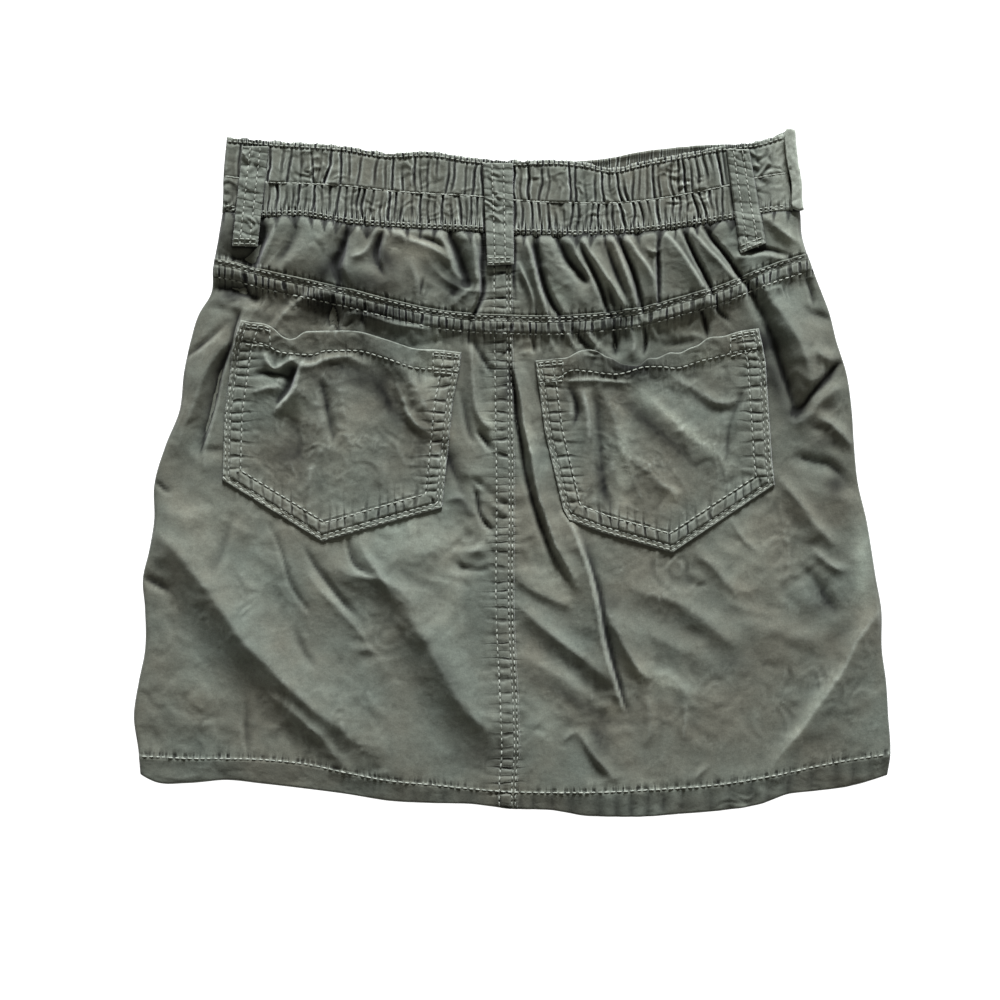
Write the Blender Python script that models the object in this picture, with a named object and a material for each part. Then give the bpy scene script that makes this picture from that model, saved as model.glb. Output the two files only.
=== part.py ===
"""A cargo utility skirt of cotton poplin, laid flat with its back up.

The waist is at +Y, the hem at -Y and the wearer's left at -X. The plain front lies on z = 0. On it
lie the back's two panels, the two yokes gathered into the elastic waistband, the belt loops and
the patch pockets. Every length is in millimetres until a vertex is placed.
"""

from collections import namedtuple
from math import hypot, sin

import bmesh
import bpy
import numpy as np
from mathutils import Vector

METRES = 0.001

# Walls of cloth, and the gap that stands for a seam.
PANEL_WALL = 1.2
HEM_WALL = 2.0
BAND_WALL = 2.2
POCKET_WALL = 1.4
LOOP_WALL = 1.8
SEAM_GAP = 0.3

# Heights of the undersides above the surface that the skirt lies on.
BACK_FLOOR = PANEL_WALL + SEAM_GAP
BAND_FLOOR = BAND_WALL + SEAM_GAP

# The back lies loosely on the front, and flat along the side folds.
PUFF = 1.1
SIDE_FADE = 16.0
MOST_LIFT = 3.6

# The gathered waistband.
PLEATS = 28
PLEAT_HEIGHT = 2.6
CHANNEL_ROWS = (0.0, 0.08, 0.28, 0.5, 0.72, 0.92, 1.0)
CHANNEL_FULLNESS = (0.3, 0.4, 1.0, 0.4, 1.0, 0.35, 0.3)
FLAT_END = 16.0

# The front waistband's right end is turned over the side, onto the back.
TURNED_WIDTH = 5.0
TURNED_TOP = 5.2

# How finely each piece is divided.
PANEL_COLUMNS = 22
PANEL_ROWS = 20
HEM_SHARE = 0.94
YOKE_COLUMNS = 28
YOKE_ROWS = 5
FRONT_DIVISIONS = 18
LOOP_ROWS = 9
PLACING_ROUNDS = 8

# The side folds and the centre-back seam, from the waist down.
Level = namedtuple("Level", "y left centre right")
LEVELS = (
    Level(166, -137.0, -0.2, 134.5),
    Level(143, -139.0, -0.2, 136.5),
    Level(127, -139.5, -0.2, 138.5),
    Level(114, -141.5, -0.2, 139.5),
    Level(100, -144.0, -0.2, 144.0),
    Level(86, -145.5, -0.2, 149.5),
    Level(78, -150.5, -0.1, 152.5),
    Level(64, -155.0, 0.0, 156.0),
    Level(50, -158.0, 0.2, 160.5),
    Level(30, -160.5, 0.5, 163.5),
    Level(14, -167.0, 0.7, 164.5),
    Level(-5, -172.5, 1.0, 166.5),
    Level(-22, -172.5, 1.0, 170.5),
    Level(-37, -175.0, 0.8, 173.0),
    Level(-50, -178.0, 0.6, 175.0),
    Level(-64, -177.0, 0.7, 177.5),
    Level(-85, -177.0, 1.5, 178.0),
    Level(-100, -180.0, 2.3, 180.0),
    Level(-116, -182.3, 3.0, 181.0),
    Level(-134, -180.0, 3.4, 182.0),
    Level(-150, -179.0, 2.2, 180.0),
    Level(-166, -179.0, 2.4, 180.0),
)

# The edges and seams that run across the skirt, from the left side to the right.
Station = namedtuple("Station", "x back_waist front_waist band_foot yoke_foot hem_row hem")
STATIONS = (
    Station(-182, 162.0, 161.0, 126.3, 106.0, -135.5, -143.0),
    Station(-172, 162.0, 161.0, 126.3, 105.5, -136.0, -148.2),
    Station(-156, 162.0, 161.0, 126.3, 104.5, -136.8, -148.8),
    Station(-138, 162.0, 161.0, 126.3, 102.8, -136.8, -147.3),
    Station(-120, 160.3, 159.0, 123.6, 98.0, -137.3, -149.0),
    Station(-100, 159.0, 158.0, 123.6, 93.5, -139.3, -151.3),
    Station(-80, 157.5, 156.5, 120.2, 89.2, -143.5, -154.0),
    Station(-60, 154.3, 153.3, 118.4, 84.0, -147.3, -157.2),
    Station(-40, 155.0, 154.0, 117.4, 79.5, -149.2, -158.3),
    Station(-20, 152.0, 151.0, 116.5, 77.0, -151.3, -158.8),
    Station(0, 150.5, 149.5, 115.0, 76.2, -152.8, -161.2),
    Station(20, 151.0, 150.0, 114.4, 75.9, -153.2, -162.0),
    Station(34, 149.8, 150.6, 114.2, 76.6, -153.1, -164.4),
    Station(48, 147.0, 152.2, 114.8, 78.0, -152.8, -165.0),
    Station(62, 150.2, 155.0, 115.8, 80.0, -152.1, -165.0),
    Station(80, 153.6, 157.2, 118.2, 84.8, -151.0, -163.7),
    Station(100, 157.6, 158.6, 121.3, 90.6, -149.2, -162.0),
    Station(120, 160.4, 159.4, 125.0, 98.8, -146.0, -158.6),
    Station(132, 164.0, 165.0, 126.5, 103.0, -143.6, -154.2),
    Station(146, 164.0, 165.0, 126.8, 107.0, -140.6, -152.6),
    Station(160, 164.0, 165.0, 126.8, 110.0, -137.9, -150.8),
    Station(182, 164.0, 165.0, 126.8, 112.0, -134.4, -144.5),
)

# Long soft folds of the back, as ridges along a bowed line. Bow is to the left of its direction.
Fold = namedtuple("Fold", "x1 y1 x2 y2 bow half_width height")
PANEL_FOLDS = (
    Fold(-168, -32, -46, -142, -9, 24, 2.6),
    Fold(-54, -54, -8, -130, -3, 20, 2.5),
    Fold(-100, -34, -62, -84, -2, 10, 1.2),
    Fold(-118, -26, -104, -66, -1, 9, 1.0),
    Fold(27, -24, 56, -134, -4, 9, 2.6),
    Fold(2, 62, 22, -60, 2, 10, 1.6),
    Fold(2, -62, 36, -92, -2, 10, 1.6),
    Fold(3, -90, 58, -124, 2, 12, 2.4),
    Fold(176, -68, 124, -142, -5, 12, 2.4),
    Fold(158, -18, 172, -62, 2, 11, 1.5),
    Fold(124, 92, 160, 48, -4, 14, 2.4),
    Fold(122, 2, 158, -48, -2, 12, 1.2),
    Fold(70, -60, 112, -104, 2, 22, 1.1),
    Fold(-134, 90, -158, 52, 2, 12, 1.6),
    Fold(-140, -6, -168, -40, 3, 16, 1.2),
    Fold(-24, 60, -12, -26, -3, 9, 1.5),
)

# Gathers of the yoke, let out of the waistband and dying away down to the yoke seam.
Gather = namedtuple("Gather", "x_top x_foot half_width height")
GATHERS = (
    Gather(-129, -136, 6, 1.0),
    Gather(-108, -124, 10, 2.2),
    Gather(-86, -112, 9, 2.6),
    Gather(-70, -75, 7, 1.8),
    Gather(-56, -40, 12, 2.4),
    Gather(-33, -27, 6, 2.0),
    Gather(-18, -17, 6, 2.2),
    Gather(5, 13, 7, 2.4),
    Gather(21, 38, 10, 2.2),
    Gather(36, 53, 7, 2.2),
    Gather(50, 66, 8, 2.4),
    Gather(64, 80, 7, 1.8),
    Gather(77, 95, 7, 2.4),
    Gather(90, 106, 7, 2.0),
    Gather(101, 114, 7, 2.2),
    Gather(124, 140, 10, 1.2),
)

# Corners of the patch pockets, from the top left one clockwise; the mouths dip between them.
Corner = namedtuple("Corner", "x y")
POCKETS = {
    "pocket_left": (
        Corner(-130, 74), Corner(-117, 71.5), Corner(-105, 65), Corner(-100, 68),
        Corner(-74, 68.2), Corner(-46, 60), Corner(-24.7, 58.1), Corner(-28.6, 34.6),
        Corner(-33.8, -16.3), Corner(-91.4, -32.6), Corner(-139.4, -3), Corner(-138.5, 29),
    ),
    "pocket_right": (
        Corner(10.3, 54.2), Corner(25.7, 55.2), Corner(37, 59), Corner(54, 52.3),
        Corner(62, 53), Corner(90, 64), Corner(117.8, 69.6), Corner(121.7, 54.2),
        Corner(124.6, 7.2), Corner(126, -5.3), Corner(77, -37.9), Corner(27.1, -22.1),
        Corner(20.9, -3), Corner(12.7, 42),
    ),
}
POCKET_FOLDS = (
    Fold(-112, 66, -100, 0, -3, 12, 1.2),
    Fold(-92, 52, -76, -12, 2, 12, 1.4),
    Fold(-128, 60, -40, 52, 1, 12, 0.8),
    Fold(58, 50, 104, 4, 2, 13, 1.8),
    Fold(38, 50, 46, -14, 2, 9, 1.2),
    Fold(24, 46, 110, 56, -3, 9, 0.8),
)
CUTTER_DEPTH = 40.0

# Belt loops: the corners of each strap, where it is sewn at the waist and below the waistband.
Strap = namedtuple("Strap", "x_top_left x_top_right y_top x_foot_left x_foot_right y_foot_left y_foot_right")
BELT_LOOPS = {
    "belt_loop_left": Strap(-129.4, -116.9, 157.0, -134.6, -122.2, 109.4, 109.0),
    "belt_loop_centre": Strap(-14.2, 0.2, 149.0, -12.2, 0.7, 99.8, 100.3),
    "belt_loop_right": Strap(103.9, 112.8, 156.7, 109.2, 121.2, 105.6, 109.9),
}
LOOP_REACH = 7.0
LOOP_SAMPLES = 12

# Colours of the faded cloth.
PANEL_COLOUR = (0.130, 0.138, 0.112)
BAND_COLOUR = (0.118, 0.124, 0.100)
TRIM_COLOUR = (0.142, 0.150, 0.124)
CLOTH_ROUGHNESS = 0.9


def column_of(table, key, value):
    """A function that reads one named column of a table at any place between its rows."""
    rows = sorted(table, key=lambda row: getattr(row, key))
    keys = [getattr(row, key) for row in rows]
    values = [getattr(row, value) for row in rows]
    return lambda place: float(np.interp(place, keys, values))


left_side = column_of(LEVELS, "y", "left")
centre_seam = column_of(LEVELS, "y", "centre")
right_side = column_of(LEVELS, "y", "right")
back_waist = column_of(STATIONS, "x", "back_waist")
front_waist = column_of(STATIONS, "x", "front_waist")
band_foot = column_of(STATIONS, "x", "band_foot")
yoke_foot = column_of(STATIONS, "x", "yoke_foot")
hem_row = column_of(STATIONS, "x", "hem_row")
hem = column_of(STATIONS, "x", "hem")


def moved(line, distance):
    """The same line, shifted by a distance."""
    return lambda place: line(place) + distance


def place_between(left, right, lines):
    """A function from shares (across, down) to the point between two sides and a stack of lines."""
    shares = [share for share, _ in lines]

    def place(across, down):
        x = y = 0.0
        for _ in range(PLACING_ROUNDS):
            x = (1 - across) * left(y) + across * right(y)
            y = float(np.interp(down, shares, [line(x) for _, line in lines]))
        return x, y

    return place


def smooth_step(share):
    share = min(max(share, 0.0), 1.0)
    return share * share * (3 - 2 * share)


def rise(fold, x, y):
    """The height that one fold adds at a point: a round ridge, fading at its ends."""
    run_x, run_y = fold.x2 - fold.x1, fold.y2 - fold.y1
    length = hypot(run_x, run_y)
    along = ((x - fold.x1) * run_x + (y - fold.y1) * run_y) / length**2
    if not 0 < along < 1:
        return 0.0
    side = ((y - fold.y1) * run_x - (x - fold.x1) * run_y) / length
    off = (side - 4 * fold.bow * along * (1 - along)) / fold.half_width
    if abs(off) >= 1:
        return 0.0
    return fold.height * (1 - off * off) ** 2 * (1 - (2 * along - 1) ** 4)


def gathered(x, y):
    """The height of the yoke's gathers, full at the waistband and a third of that at the seam."""
    top, foot = band_foot(x), yoke_foot(x)
    down = min(max((top - y) / (top - foot), 0.0), 1.0) if y > foot - SIDE_FADE else 1.0
    below = smooth_step((y - foot + SIDE_FADE) / SIDE_FADE)
    height = 0.0
    for gather in GATHERS:
        middle = (1 - down) * gather.x_top + down * gather.x_foot
        off = (x - middle) / (gather.half_width * (1 + 0.5 * down))
        if abs(off) < 1:
            height = max(height, gather.height * (1 - off * off) ** 2)
    return height * (1 - 0.65 * down) * below


def lift(x, y):
    """How far the back's cloth lies above its floor."""
    inward = min(x - left_side(y), right_side(y) - x)
    height = PUFF + gathered(x, y) + sum(rise(fold, x, y) for fold in PANEL_FOLDS)
    return min(height, MOST_LIFT) * smooth_step(inward / SIDE_FADE)


def back_floor(x, y):
    return BACK_FLOOR + lift(x, y)


def panel_wall(x, y):
    return HEM_WALL if y < hem_row(x) + 0.5 * SEAM_GAP else PANEL_WALL


def shell(columns, rows, under, over):
    """A closed wall between two grids of points, under(across, down) and over(across, down)."""
    bm = bmesh.new()
    bmesh.ops.create_grid(bm, x_segments=len(columns) - 1, y_segments=len(rows) - 1, size=1)
    bmesh.ops.triangulate(bm, faces=bm.faces[:], quad_method="FIXED")
    made = bmesh.ops.extrude_face_region(bm, geom=bm.faces[:])
    upper = {item for item in made["geom"] if isinstance(item, bmesh.types.BMVert)}
    for vert in bm.verts:
        column = round((vert.co.x + 1) / 2 * (len(columns) - 1))
        row = round((1 - vert.co.y) / 2 * (len(rows) - 1))
        surface = over if vert in upper else under
        vert.co = Vector(surface(columns[column], rows[row])) * METRES
    bmesh.ops.recalc_face_normals(bm, faces=bm.faces[:])
    return bm


def cloth_shell(columns, rows, place, floor, wall):
    """A wall of cloth whose underside stands at floor(x, y) and whose thickness is wall(x, y)."""

    def under(across, down):
        x, y = place(across, down)
        return x, y, floor(x, y)

    def over(across, down):
        x, y = place(across, down)
        return x, y, floor(x, y) + wall(x, y)

    return shell(columns, rows, under, over)


def evenly(divisions, first=0.0, last=1.0):
    return [float(share) for share in np.linspace(first, last, divisions + 1)]


def cotton(name, colour):
    """Faded cotton cloth of one shade."""
    material = bpy.data.materials.new(name)
    material.use_nodes = True
    shader = material.node_tree.nodes["Principled BSDF"]
    shader.inputs["Base Color"].default_value = (*colour, 1)
    shader.inputs["Roughness"].default_value = CLOTH_ROUGHNESS
    shader.inputs["Metallic"].default_value = 0
    return material


def add_piece(name, bm, colour):
    mesh = bpy.data.meshes.new(name)
    bm.to_mesh(mesh)
    bm.free()
    mesh.materials.append(cotton(name + "_cotton", colour))
    mesh.shade_smooth()
    mesh.set_sharp_from_angle(angle=0.9)
    piece = bpy.data.objects.new(name, mesh)
    bpy.context.collection.objects.link(piece)
    return piece


def panel_grid(left, right):
    """Columns, rows and placing of a back panel, with a row of its own along the hem's fold."""
    lines = (
        (0.0, moved(yoke_foot, -SEAM_GAP / 2)),
        (HEM_SHARE, hem_row),
        (1.0, hem),
    )
    rows = evenly(PANEL_ROWS, 0.0, HEM_SHARE) + [1.0]
    return evenly(PANEL_COLUMNS), rows, place_between(left, right, lines)


def make_back_panels(halves):
    for name, (left, right) in halves.items():
        bm = cloth_shell(*panel_grid(left, right), back_floor, panel_wall)
        add_piece("back_panel_" + name, bm, PANEL_COLOUR)


def make_back_yokes(halves):
    lines = ((0.0, moved(band_foot, -SEAM_GAP / 2)), (1.0, moved(yoke_foot, SEAM_GAP / 2)))
    for name, (left, right) in halves.items():
        place = place_between(left, right, lines)
        bm = cloth_shell(
            evenly(YOKE_COLUMNS), evenly(YOKE_ROWS), place, back_floor, lambda x, y: PANEL_WALL
        )
        add_piece("back_yoke_" + name, bm, PANEL_COLOUR)


def outline_prism(name, corners):
    """The upright prism over an outline, which cuts a pocket out of a sheet."""
    bm = bmesh.new()
    base = bm.faces.new([bm.verts.new(Vector((c.x, c.y, 0)) * METRES) for c in corners])
    made = bmesh.ops.extrude_face_region(bm, geom=[base])
    raised = [item for item in made["geom"] if isinstance(item, bmesh.types.BMVert)]
    bmesh.ops.translate(bm, verts=raised, vec=Vector((0, 0, CUTTER_DEPTH)) * METRES)
    bmesh.ops.recalc_face_normals(bm, faces=bm.faces[:])
    cutter = add_piece(name, bm, TRIM_COLOUR)
    cutter.hide_render = True
    cutter.display_type = "WIRE"
    return cutter


def make_pockets(halves):
    """Each pocket is its panel's own surface, moved out, with the pocket's folds added."""

    def pocket_floor(x, y):
        folds = sum(rise(fold, x, y) for fold in POCKET_FOLDS)
        return back_floor(x, y) + PANEL_WALL + SEAM_GAP + folds

    for side, (left, right) in halves.items():
        name = "pocket_" + side
        bm = cloth_shell(*panel_grid(left, right), pocket_floor, lambda x, y: POCKET_WALL)
        pocket = add_piece(name, bm, TRIM_COLOUR)
        cut = pocket.modifiers.new("outline", "BOOLEAN")
        cut.operation = "INTERSECT"
        cut.object = outline_prism(name + "_outline", POCKETS[name])


def pleat_edges():
    """Shares across the waistband of each pleat's valley and ridge, unevenly spaced."""
    widths = [1 + 0.34 * sin(2.3 * i) + 0.22 * sin(5.1 * i + 1) for i in range(2 * PLEATS)]
    edges = np.concatenate([[0.0], np.cumsum(widths)])
    return [float(share) for share in edges / edges[-1]]


PLEAT_EDGES = pleat_edges()


def band_right(y):
    """The back waistband ends where the front one is turned over it."""
    return right_side(y) - TURNED_WIDTH - SEAM_GAP


def band_floor(x, y):
    """The waistband's underside: ridges between its stitch rows, flat at both ends."""
    across = (x - left_side(y)) / (band_right(y) - left_side(y))
    down = (back_waist(x) - y) / (back_waist(x) - band_foot(x))
    step = float(np.interp(across, PLEAT_EDGES, range(2 * PLEATS + 1)))
    ridge = 1 - abs(step % 2 - 1)
    size = 0.72 + 0.28 * sin(1.9 * (step // 2))
    fullness = float(np.interp(down, CHANNEL_ROWS, CHANNEL_FULLNESS))
    ends = smooth_step(min(x - left_side(y), band_right(y) - x) / FLAT_END)
    return BAND_FLOOR + PLEAT_HEIGHT * ridge * size * fullness * ends


def make_back_waistband():
    lines = ((0.0, back_waist), (1.0, moved(band_foot, SEAM_GAP / 2)))
    place = place_between(left_side, band_right, lines)
    bm = cloth_shell(PLEAT_EDGES, CHANNEL_ROWS, place, band_floor, lambda x, y: BAND_WALL)
    add_piece("back_waistband", bm, BAND_COLOUR)


def make_front_waistband():
    """A flat band under the gathered one. Its right end goes round the side and lies on the back."""
    lines = ((0.0, front_waist), (1.0, moved(band_foot, SEAM_GAP / 2)))
    place = place_between(left_side, right_side, lines)
    turned = {1.3: TURNED_TOP / 2, 1.6: TURNED_TOP, 2.0: TURNED_TOP}

    def outer(across, down):
        x, y = place(min(across, 1.0), down)
        if across == 2.0:
            x -= TURNED_WIDTH
        return x, y, turned.get(across, 0.0)

    def inner(across, down):
        x, y, z = outer(across, down)
        inward = BAND_WALL if 1.0 <= across < 2.0 else 0.0
        up = {1.3: 0.0, 1.6: -BAND_WALL, 2.0: -BAND_WALL}.get(across, BAND_WALL)
        return x - inward, y, z + up

    columns = evenly(FRONT_DIVISIONS) + list(turned)
    add_piece("front_waistband", shell(columns, (0.0, 0.5, 1.0), outer, inner), BAND_COLOUR)


def make_front_panel():
    """One plain flat panel: only its outline matters."""
    lines = ((0.0, moved(band_foot, -SEAM_GAP / 2)), (1.0, hem))
    place = place_between(left_side, right_side, lines)
    shares = evenly(FRONT_DIVISIONS)[:-1]
    rim = [place(share, 0.0) for share in shares]
    rim += [place(1.0, share) for share in shares]
    rim += [place(1 - share, 1.0) for share in shares]
    rim += [place(0.0, 1 - share) for share in shares]
    bm = bmesh.new()
    base = bm.faces.new([bm.verts.new(Vector((x, y, 0)) * METRES) for x, y in rim])
    made = bmesh.ops.extrude_face_region(bm, geom=[base])
    raised = [item for item in made["geom"] if isinstance(item, bmesh.types.BMVert)]
    bmesh.ops.translate(bm, verts=raised, vec=Vector((0, 0, PANEL_WALL)) * METRES)
    bmesh.ops.recalc_face_normals(bm, faces=bm.faces[:])
    add_piece("front_panel", bm, PANEL_COLOUR)


def top_of_back(x, y):
    """The height of what a belt loop crosses: the waistband, and the yoke below it."""
    if y > band_foot(x):
        return band_floor(x, y) + BAND_WALL
    return back_floor(x, y) + PANEL_WALL


def make_belt_loops():
    """Straps laid over the waistband and the yoke, clear of the gathers around them."""
    spread = evenly(LOOP_SAMPLES, -LOOP_REACH, LOOP_REACH)
    for name, strap in BELT_LOOPS.items():

        def place(across, down, strap=strap):
            x_left = (1 - down) * strap.x_top_left + down * strap.x_foot_left
            x_right = (1 - down) * strap.x_top_right + down * strap.x_foot_right
            y_foot = (1 - across) * strap.y_foot_left + across * strap.y_foot_right
            return (1 - across) * x_left + across * x_right, (1 - down) * strap.y_top + down * y_foot

        def under(across, down, place=place):
            x, y = place(across, down)
            x_mid, y_mid = place(0.5, down)
            tops = [top_of_back(x_mid + dx, y_mid + dy) for dx in spread for dy in spread]
            return x, y, max(tops) + SEAM_GAP

        def over(across, down, under=under):
            x, y, z = under(across, down)
            return x, y, z + LOOP_WALL

        add_piece(name, shell((0.0, 0.5, 1.0), evenly(LOOP_ROWS), under, over), TRIM_COLOUR)


def clear_scene():
    for leftover in list(bpy.data.objects):
        bpy.data.objects.remove(leftover)


def main():
    clear_scene()
    halves = {
        "left": (left_side, moved(centre_seam, -SEAM_GAP / 2)),
        "right": (moved(centre_seam, SEAM_GAP / 2), right_side),
    }
    make_front_panel()
    make_front_waistband()
    make_back_panels(halves)
    make_back_yokes(halves)
    make_back_waistband()
    make_pockets(halves)
    make_belt_loops()


main()
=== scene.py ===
"""The looks of a cargo utility skirt of washed olive cotton, laid flat with its back up.

The waist is at +Y, the hem at -Y and the wearer's left at -X. Every length is in millimetres until a
vertex, a light or the camera is placed. Cloth is a thin shell under an outer face that is worked out
as a height over the surface it lies on: folds, gathers, creases, sewn strips and puckers are added
up there, and the stitches are set on the same face.
"""

from collections import namedtuple
from math import cos, pi, radians, sin

import bmesh
import bpy
import numpy as np
from mathutils import Matrix, Vector


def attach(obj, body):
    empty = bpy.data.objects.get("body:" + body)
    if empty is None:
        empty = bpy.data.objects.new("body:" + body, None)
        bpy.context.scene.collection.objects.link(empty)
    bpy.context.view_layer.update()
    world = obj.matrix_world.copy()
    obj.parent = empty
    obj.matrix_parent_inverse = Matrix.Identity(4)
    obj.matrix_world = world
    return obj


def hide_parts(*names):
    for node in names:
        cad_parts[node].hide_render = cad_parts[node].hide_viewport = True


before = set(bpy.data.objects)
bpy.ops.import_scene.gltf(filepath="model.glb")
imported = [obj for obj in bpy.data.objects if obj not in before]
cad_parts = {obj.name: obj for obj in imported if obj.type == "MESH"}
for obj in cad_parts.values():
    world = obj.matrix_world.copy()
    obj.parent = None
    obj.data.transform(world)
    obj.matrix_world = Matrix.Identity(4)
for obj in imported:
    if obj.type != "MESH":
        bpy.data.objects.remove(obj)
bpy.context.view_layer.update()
MM = 0.001


def named_rows(kind, rows):
    """A table's rows, each with its columns named by a kind of named tuple."""
    return [kind(*row) for row in rows]


# Heights of the outer faces above the surface that the skirt lies on.
FRONT_TOP = 0.7
BACK_TOP = 2.3
BAND_TOP = 4.2
PUFF = 1.2
YOKE_PUFF = 2.0
FOLD_GAIN = 1.15

# Walls of the shells.
CLOTH_WALL = 0.6
TRIM_WALL = 0.7

# The radius with which each edge turns down, and how far in from the side folds the cloth is lower.
SIDE_RADIUS = 1.1
HEM_RADIUS = 1.0
BAND_RADIUS = 0.8
TRIM_RADIUS = 0.9
SIDE_FADE = 9.0

# Seams: how far each row of stitches lies from the seam's edge.
YOKE_ROWS = (1.1, 2.8, 8.9)
CENTRE_ROWS = (0.9, 2.5, 8.6)
POCKET_ROWS = (1.2, 2.9, 8.6)

# The rows along a belt loop, as shares of its width.
LOOP_ROWS = (0.3, 0.68)

# Small puckers and gathers beside seams: how far apart they are, and the seed of their uneven widths.
Puckers = namedtuple("Puckers", "pitch seed")
YOKE_PUCKERS = Puckers(3.9, 3)
CENTRE_PUCKERS = Puckers(5.0, 7)
HEM_PUCKERS = Puckers(6.5, 5)
HEM_TUCKS = Puckers(9.5, 5)
HEM_TEETH = Puckers(3.6, 9)
UNDER_BAND_PUCKERS = Puckers(7.5, 19)
BAND_EDGE_PUCKERS = Puckers(2.5, 2)
FRONT_BAND_PUCKERS = Puckers(3.2, 4)
POCKET_PUCKERS = Puckers(5.0, 13)
POCKET_HEM_PUCKERS = Puckers(9, 17)
POCKET_HEM_GAPS = Puckers(5, 17)
LOOP_PUCKERS = Puckers(4.6, 100)
LOOP_SEED_STEP = 7

# The side folds and the centre-back seam, from the waist down.
Level = namedtuple("Level", "y left centre right")
LEVELS = (
    Level(166, -137.0, -0.2, 134.5),
    Level(143, -139.0, -0.2, 136.5),
    Level(127, -139.5, -0.2, 138.5),
    Level(114, -141.5, -0.2, 139.5),
    Level(100, -144.0, -0.2, 144.0),
    Level(86, -145.5, -0.2, 149.5),
    Level(78, -150.5, -0.1, 152.5),
    Level(64, -155.0, 0.0, 156.0),
    Level(50, -158.0, 0.2, 160.5),
    Level(30, -160.5, 0.5, 163.5),
    Level(14, -167.0, 0.7, 164.5),
    Level(-5, -172.5, 1.0, 166.5),
    Level(-22, -172.5, 1.0, 170.5),
    Level(-37, -175.0, 0.8, 173.0),
    Level(-50, -178.0, 0.6, 175.0),
    Level(-64, -177.0, 0.7, 177.5),
    Level(-85, -177.0, 1.5, 178.0),
    Level(-100, -180.0, 2.3, 180.0),
    Level(-116, -182.3, 3.0, 181.0),
    Level(-134, -180.0, 3.4, 182.0),
    Level(-150, -179.0, 2.2, 180.0),
    Level(-166, -179.0, 2.4, 180.0),
)

# The edges and seams that run across the skirt, from the left side to the right.
Station = namedtuple("Station", "x back_waist front_waist band_middle band_foot yoke_foot hem_row hem")
STATIONS = (
    Station(-182, 162.0, 161.0, 143.0, 126.3, 106.0, -135.5, -143.0),
    Station(-172, 162.0, 161.0, 143.0, 126.3, 105.5, -136.0, -148.2),
    Station(-156, 162.0, 161.0, 143.0, 126.3, 104.5, -136.8, -148.8),
    Station(-138, 162.0, 161.0, 143.0, 126.3, 102.8, -136.8, -147.3),
    Station(-120, 160.3, 159.0, 140.2, 123.6, 98.0, -137.3, -149.0),
    Station(-100, 159.0, 158.0, 139.4, 123.6, 93.5, -139.3, -151.3),
    Station(-80, 157.5, 156.5, 138.4, 120.2, 89.2, -143.5, -154.0),
    Station(-60, 154.3, 153.3, 136.0, 118.4, 84.0, -147.3, -157.2),
    Station(-40, 155.0, 154.0, 134.6, 117.4, 79.5, -149.2, -158.3),
    Station(-20, 152.0, 151.0, 133.6, 116.5, 77.0, -151.3, -158.8),
    Station(0, 150.5, 149.5, 131.6, 115.0, 76.2, -152.8, -161.2),
    Station(20, 151.0, 150.0, 130.4, 114.4, 75.9, -153.2, -162.0),
    Station(34, 149.8, 150.6, 130.1, 114.2, 76.6, -153.1, -164.4),
    Station(48, 147.0, 152.2, 130.1, 114.8, 78.0, -152.8, -165.0),
    Station(62, 150.2, 155.0, 131.2, 115.8, 80.0, -152.1, -165.0),
    Station(80, 153.6, 157.2, 133.9, 118.2, 84.8, -151.0, -163.7),
    Station(100, 157.6, 158.6, 137.8, 121.3, 90.6, -149.2, -162.0),
    Station(120, 160.4, 159.4, 142.8, 125.0, 98.8, -146.0, -158.6),
    Station(132, 164.0, 165.0, 144.5, 126.5, 103.0, -143.6, -154.2),
    Station(146, 164.0, 165.0, 144.5, 126.8, 107.0, -140.6, -152.6),
    Station(160, 164.0, 165.0, 144.5, 126.8, 110.0, -137.9, -150.8),
    Station(182, 164.0, 165.0, 144.5, 126.8, 112.0, -134.4, -144.5),
)

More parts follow.
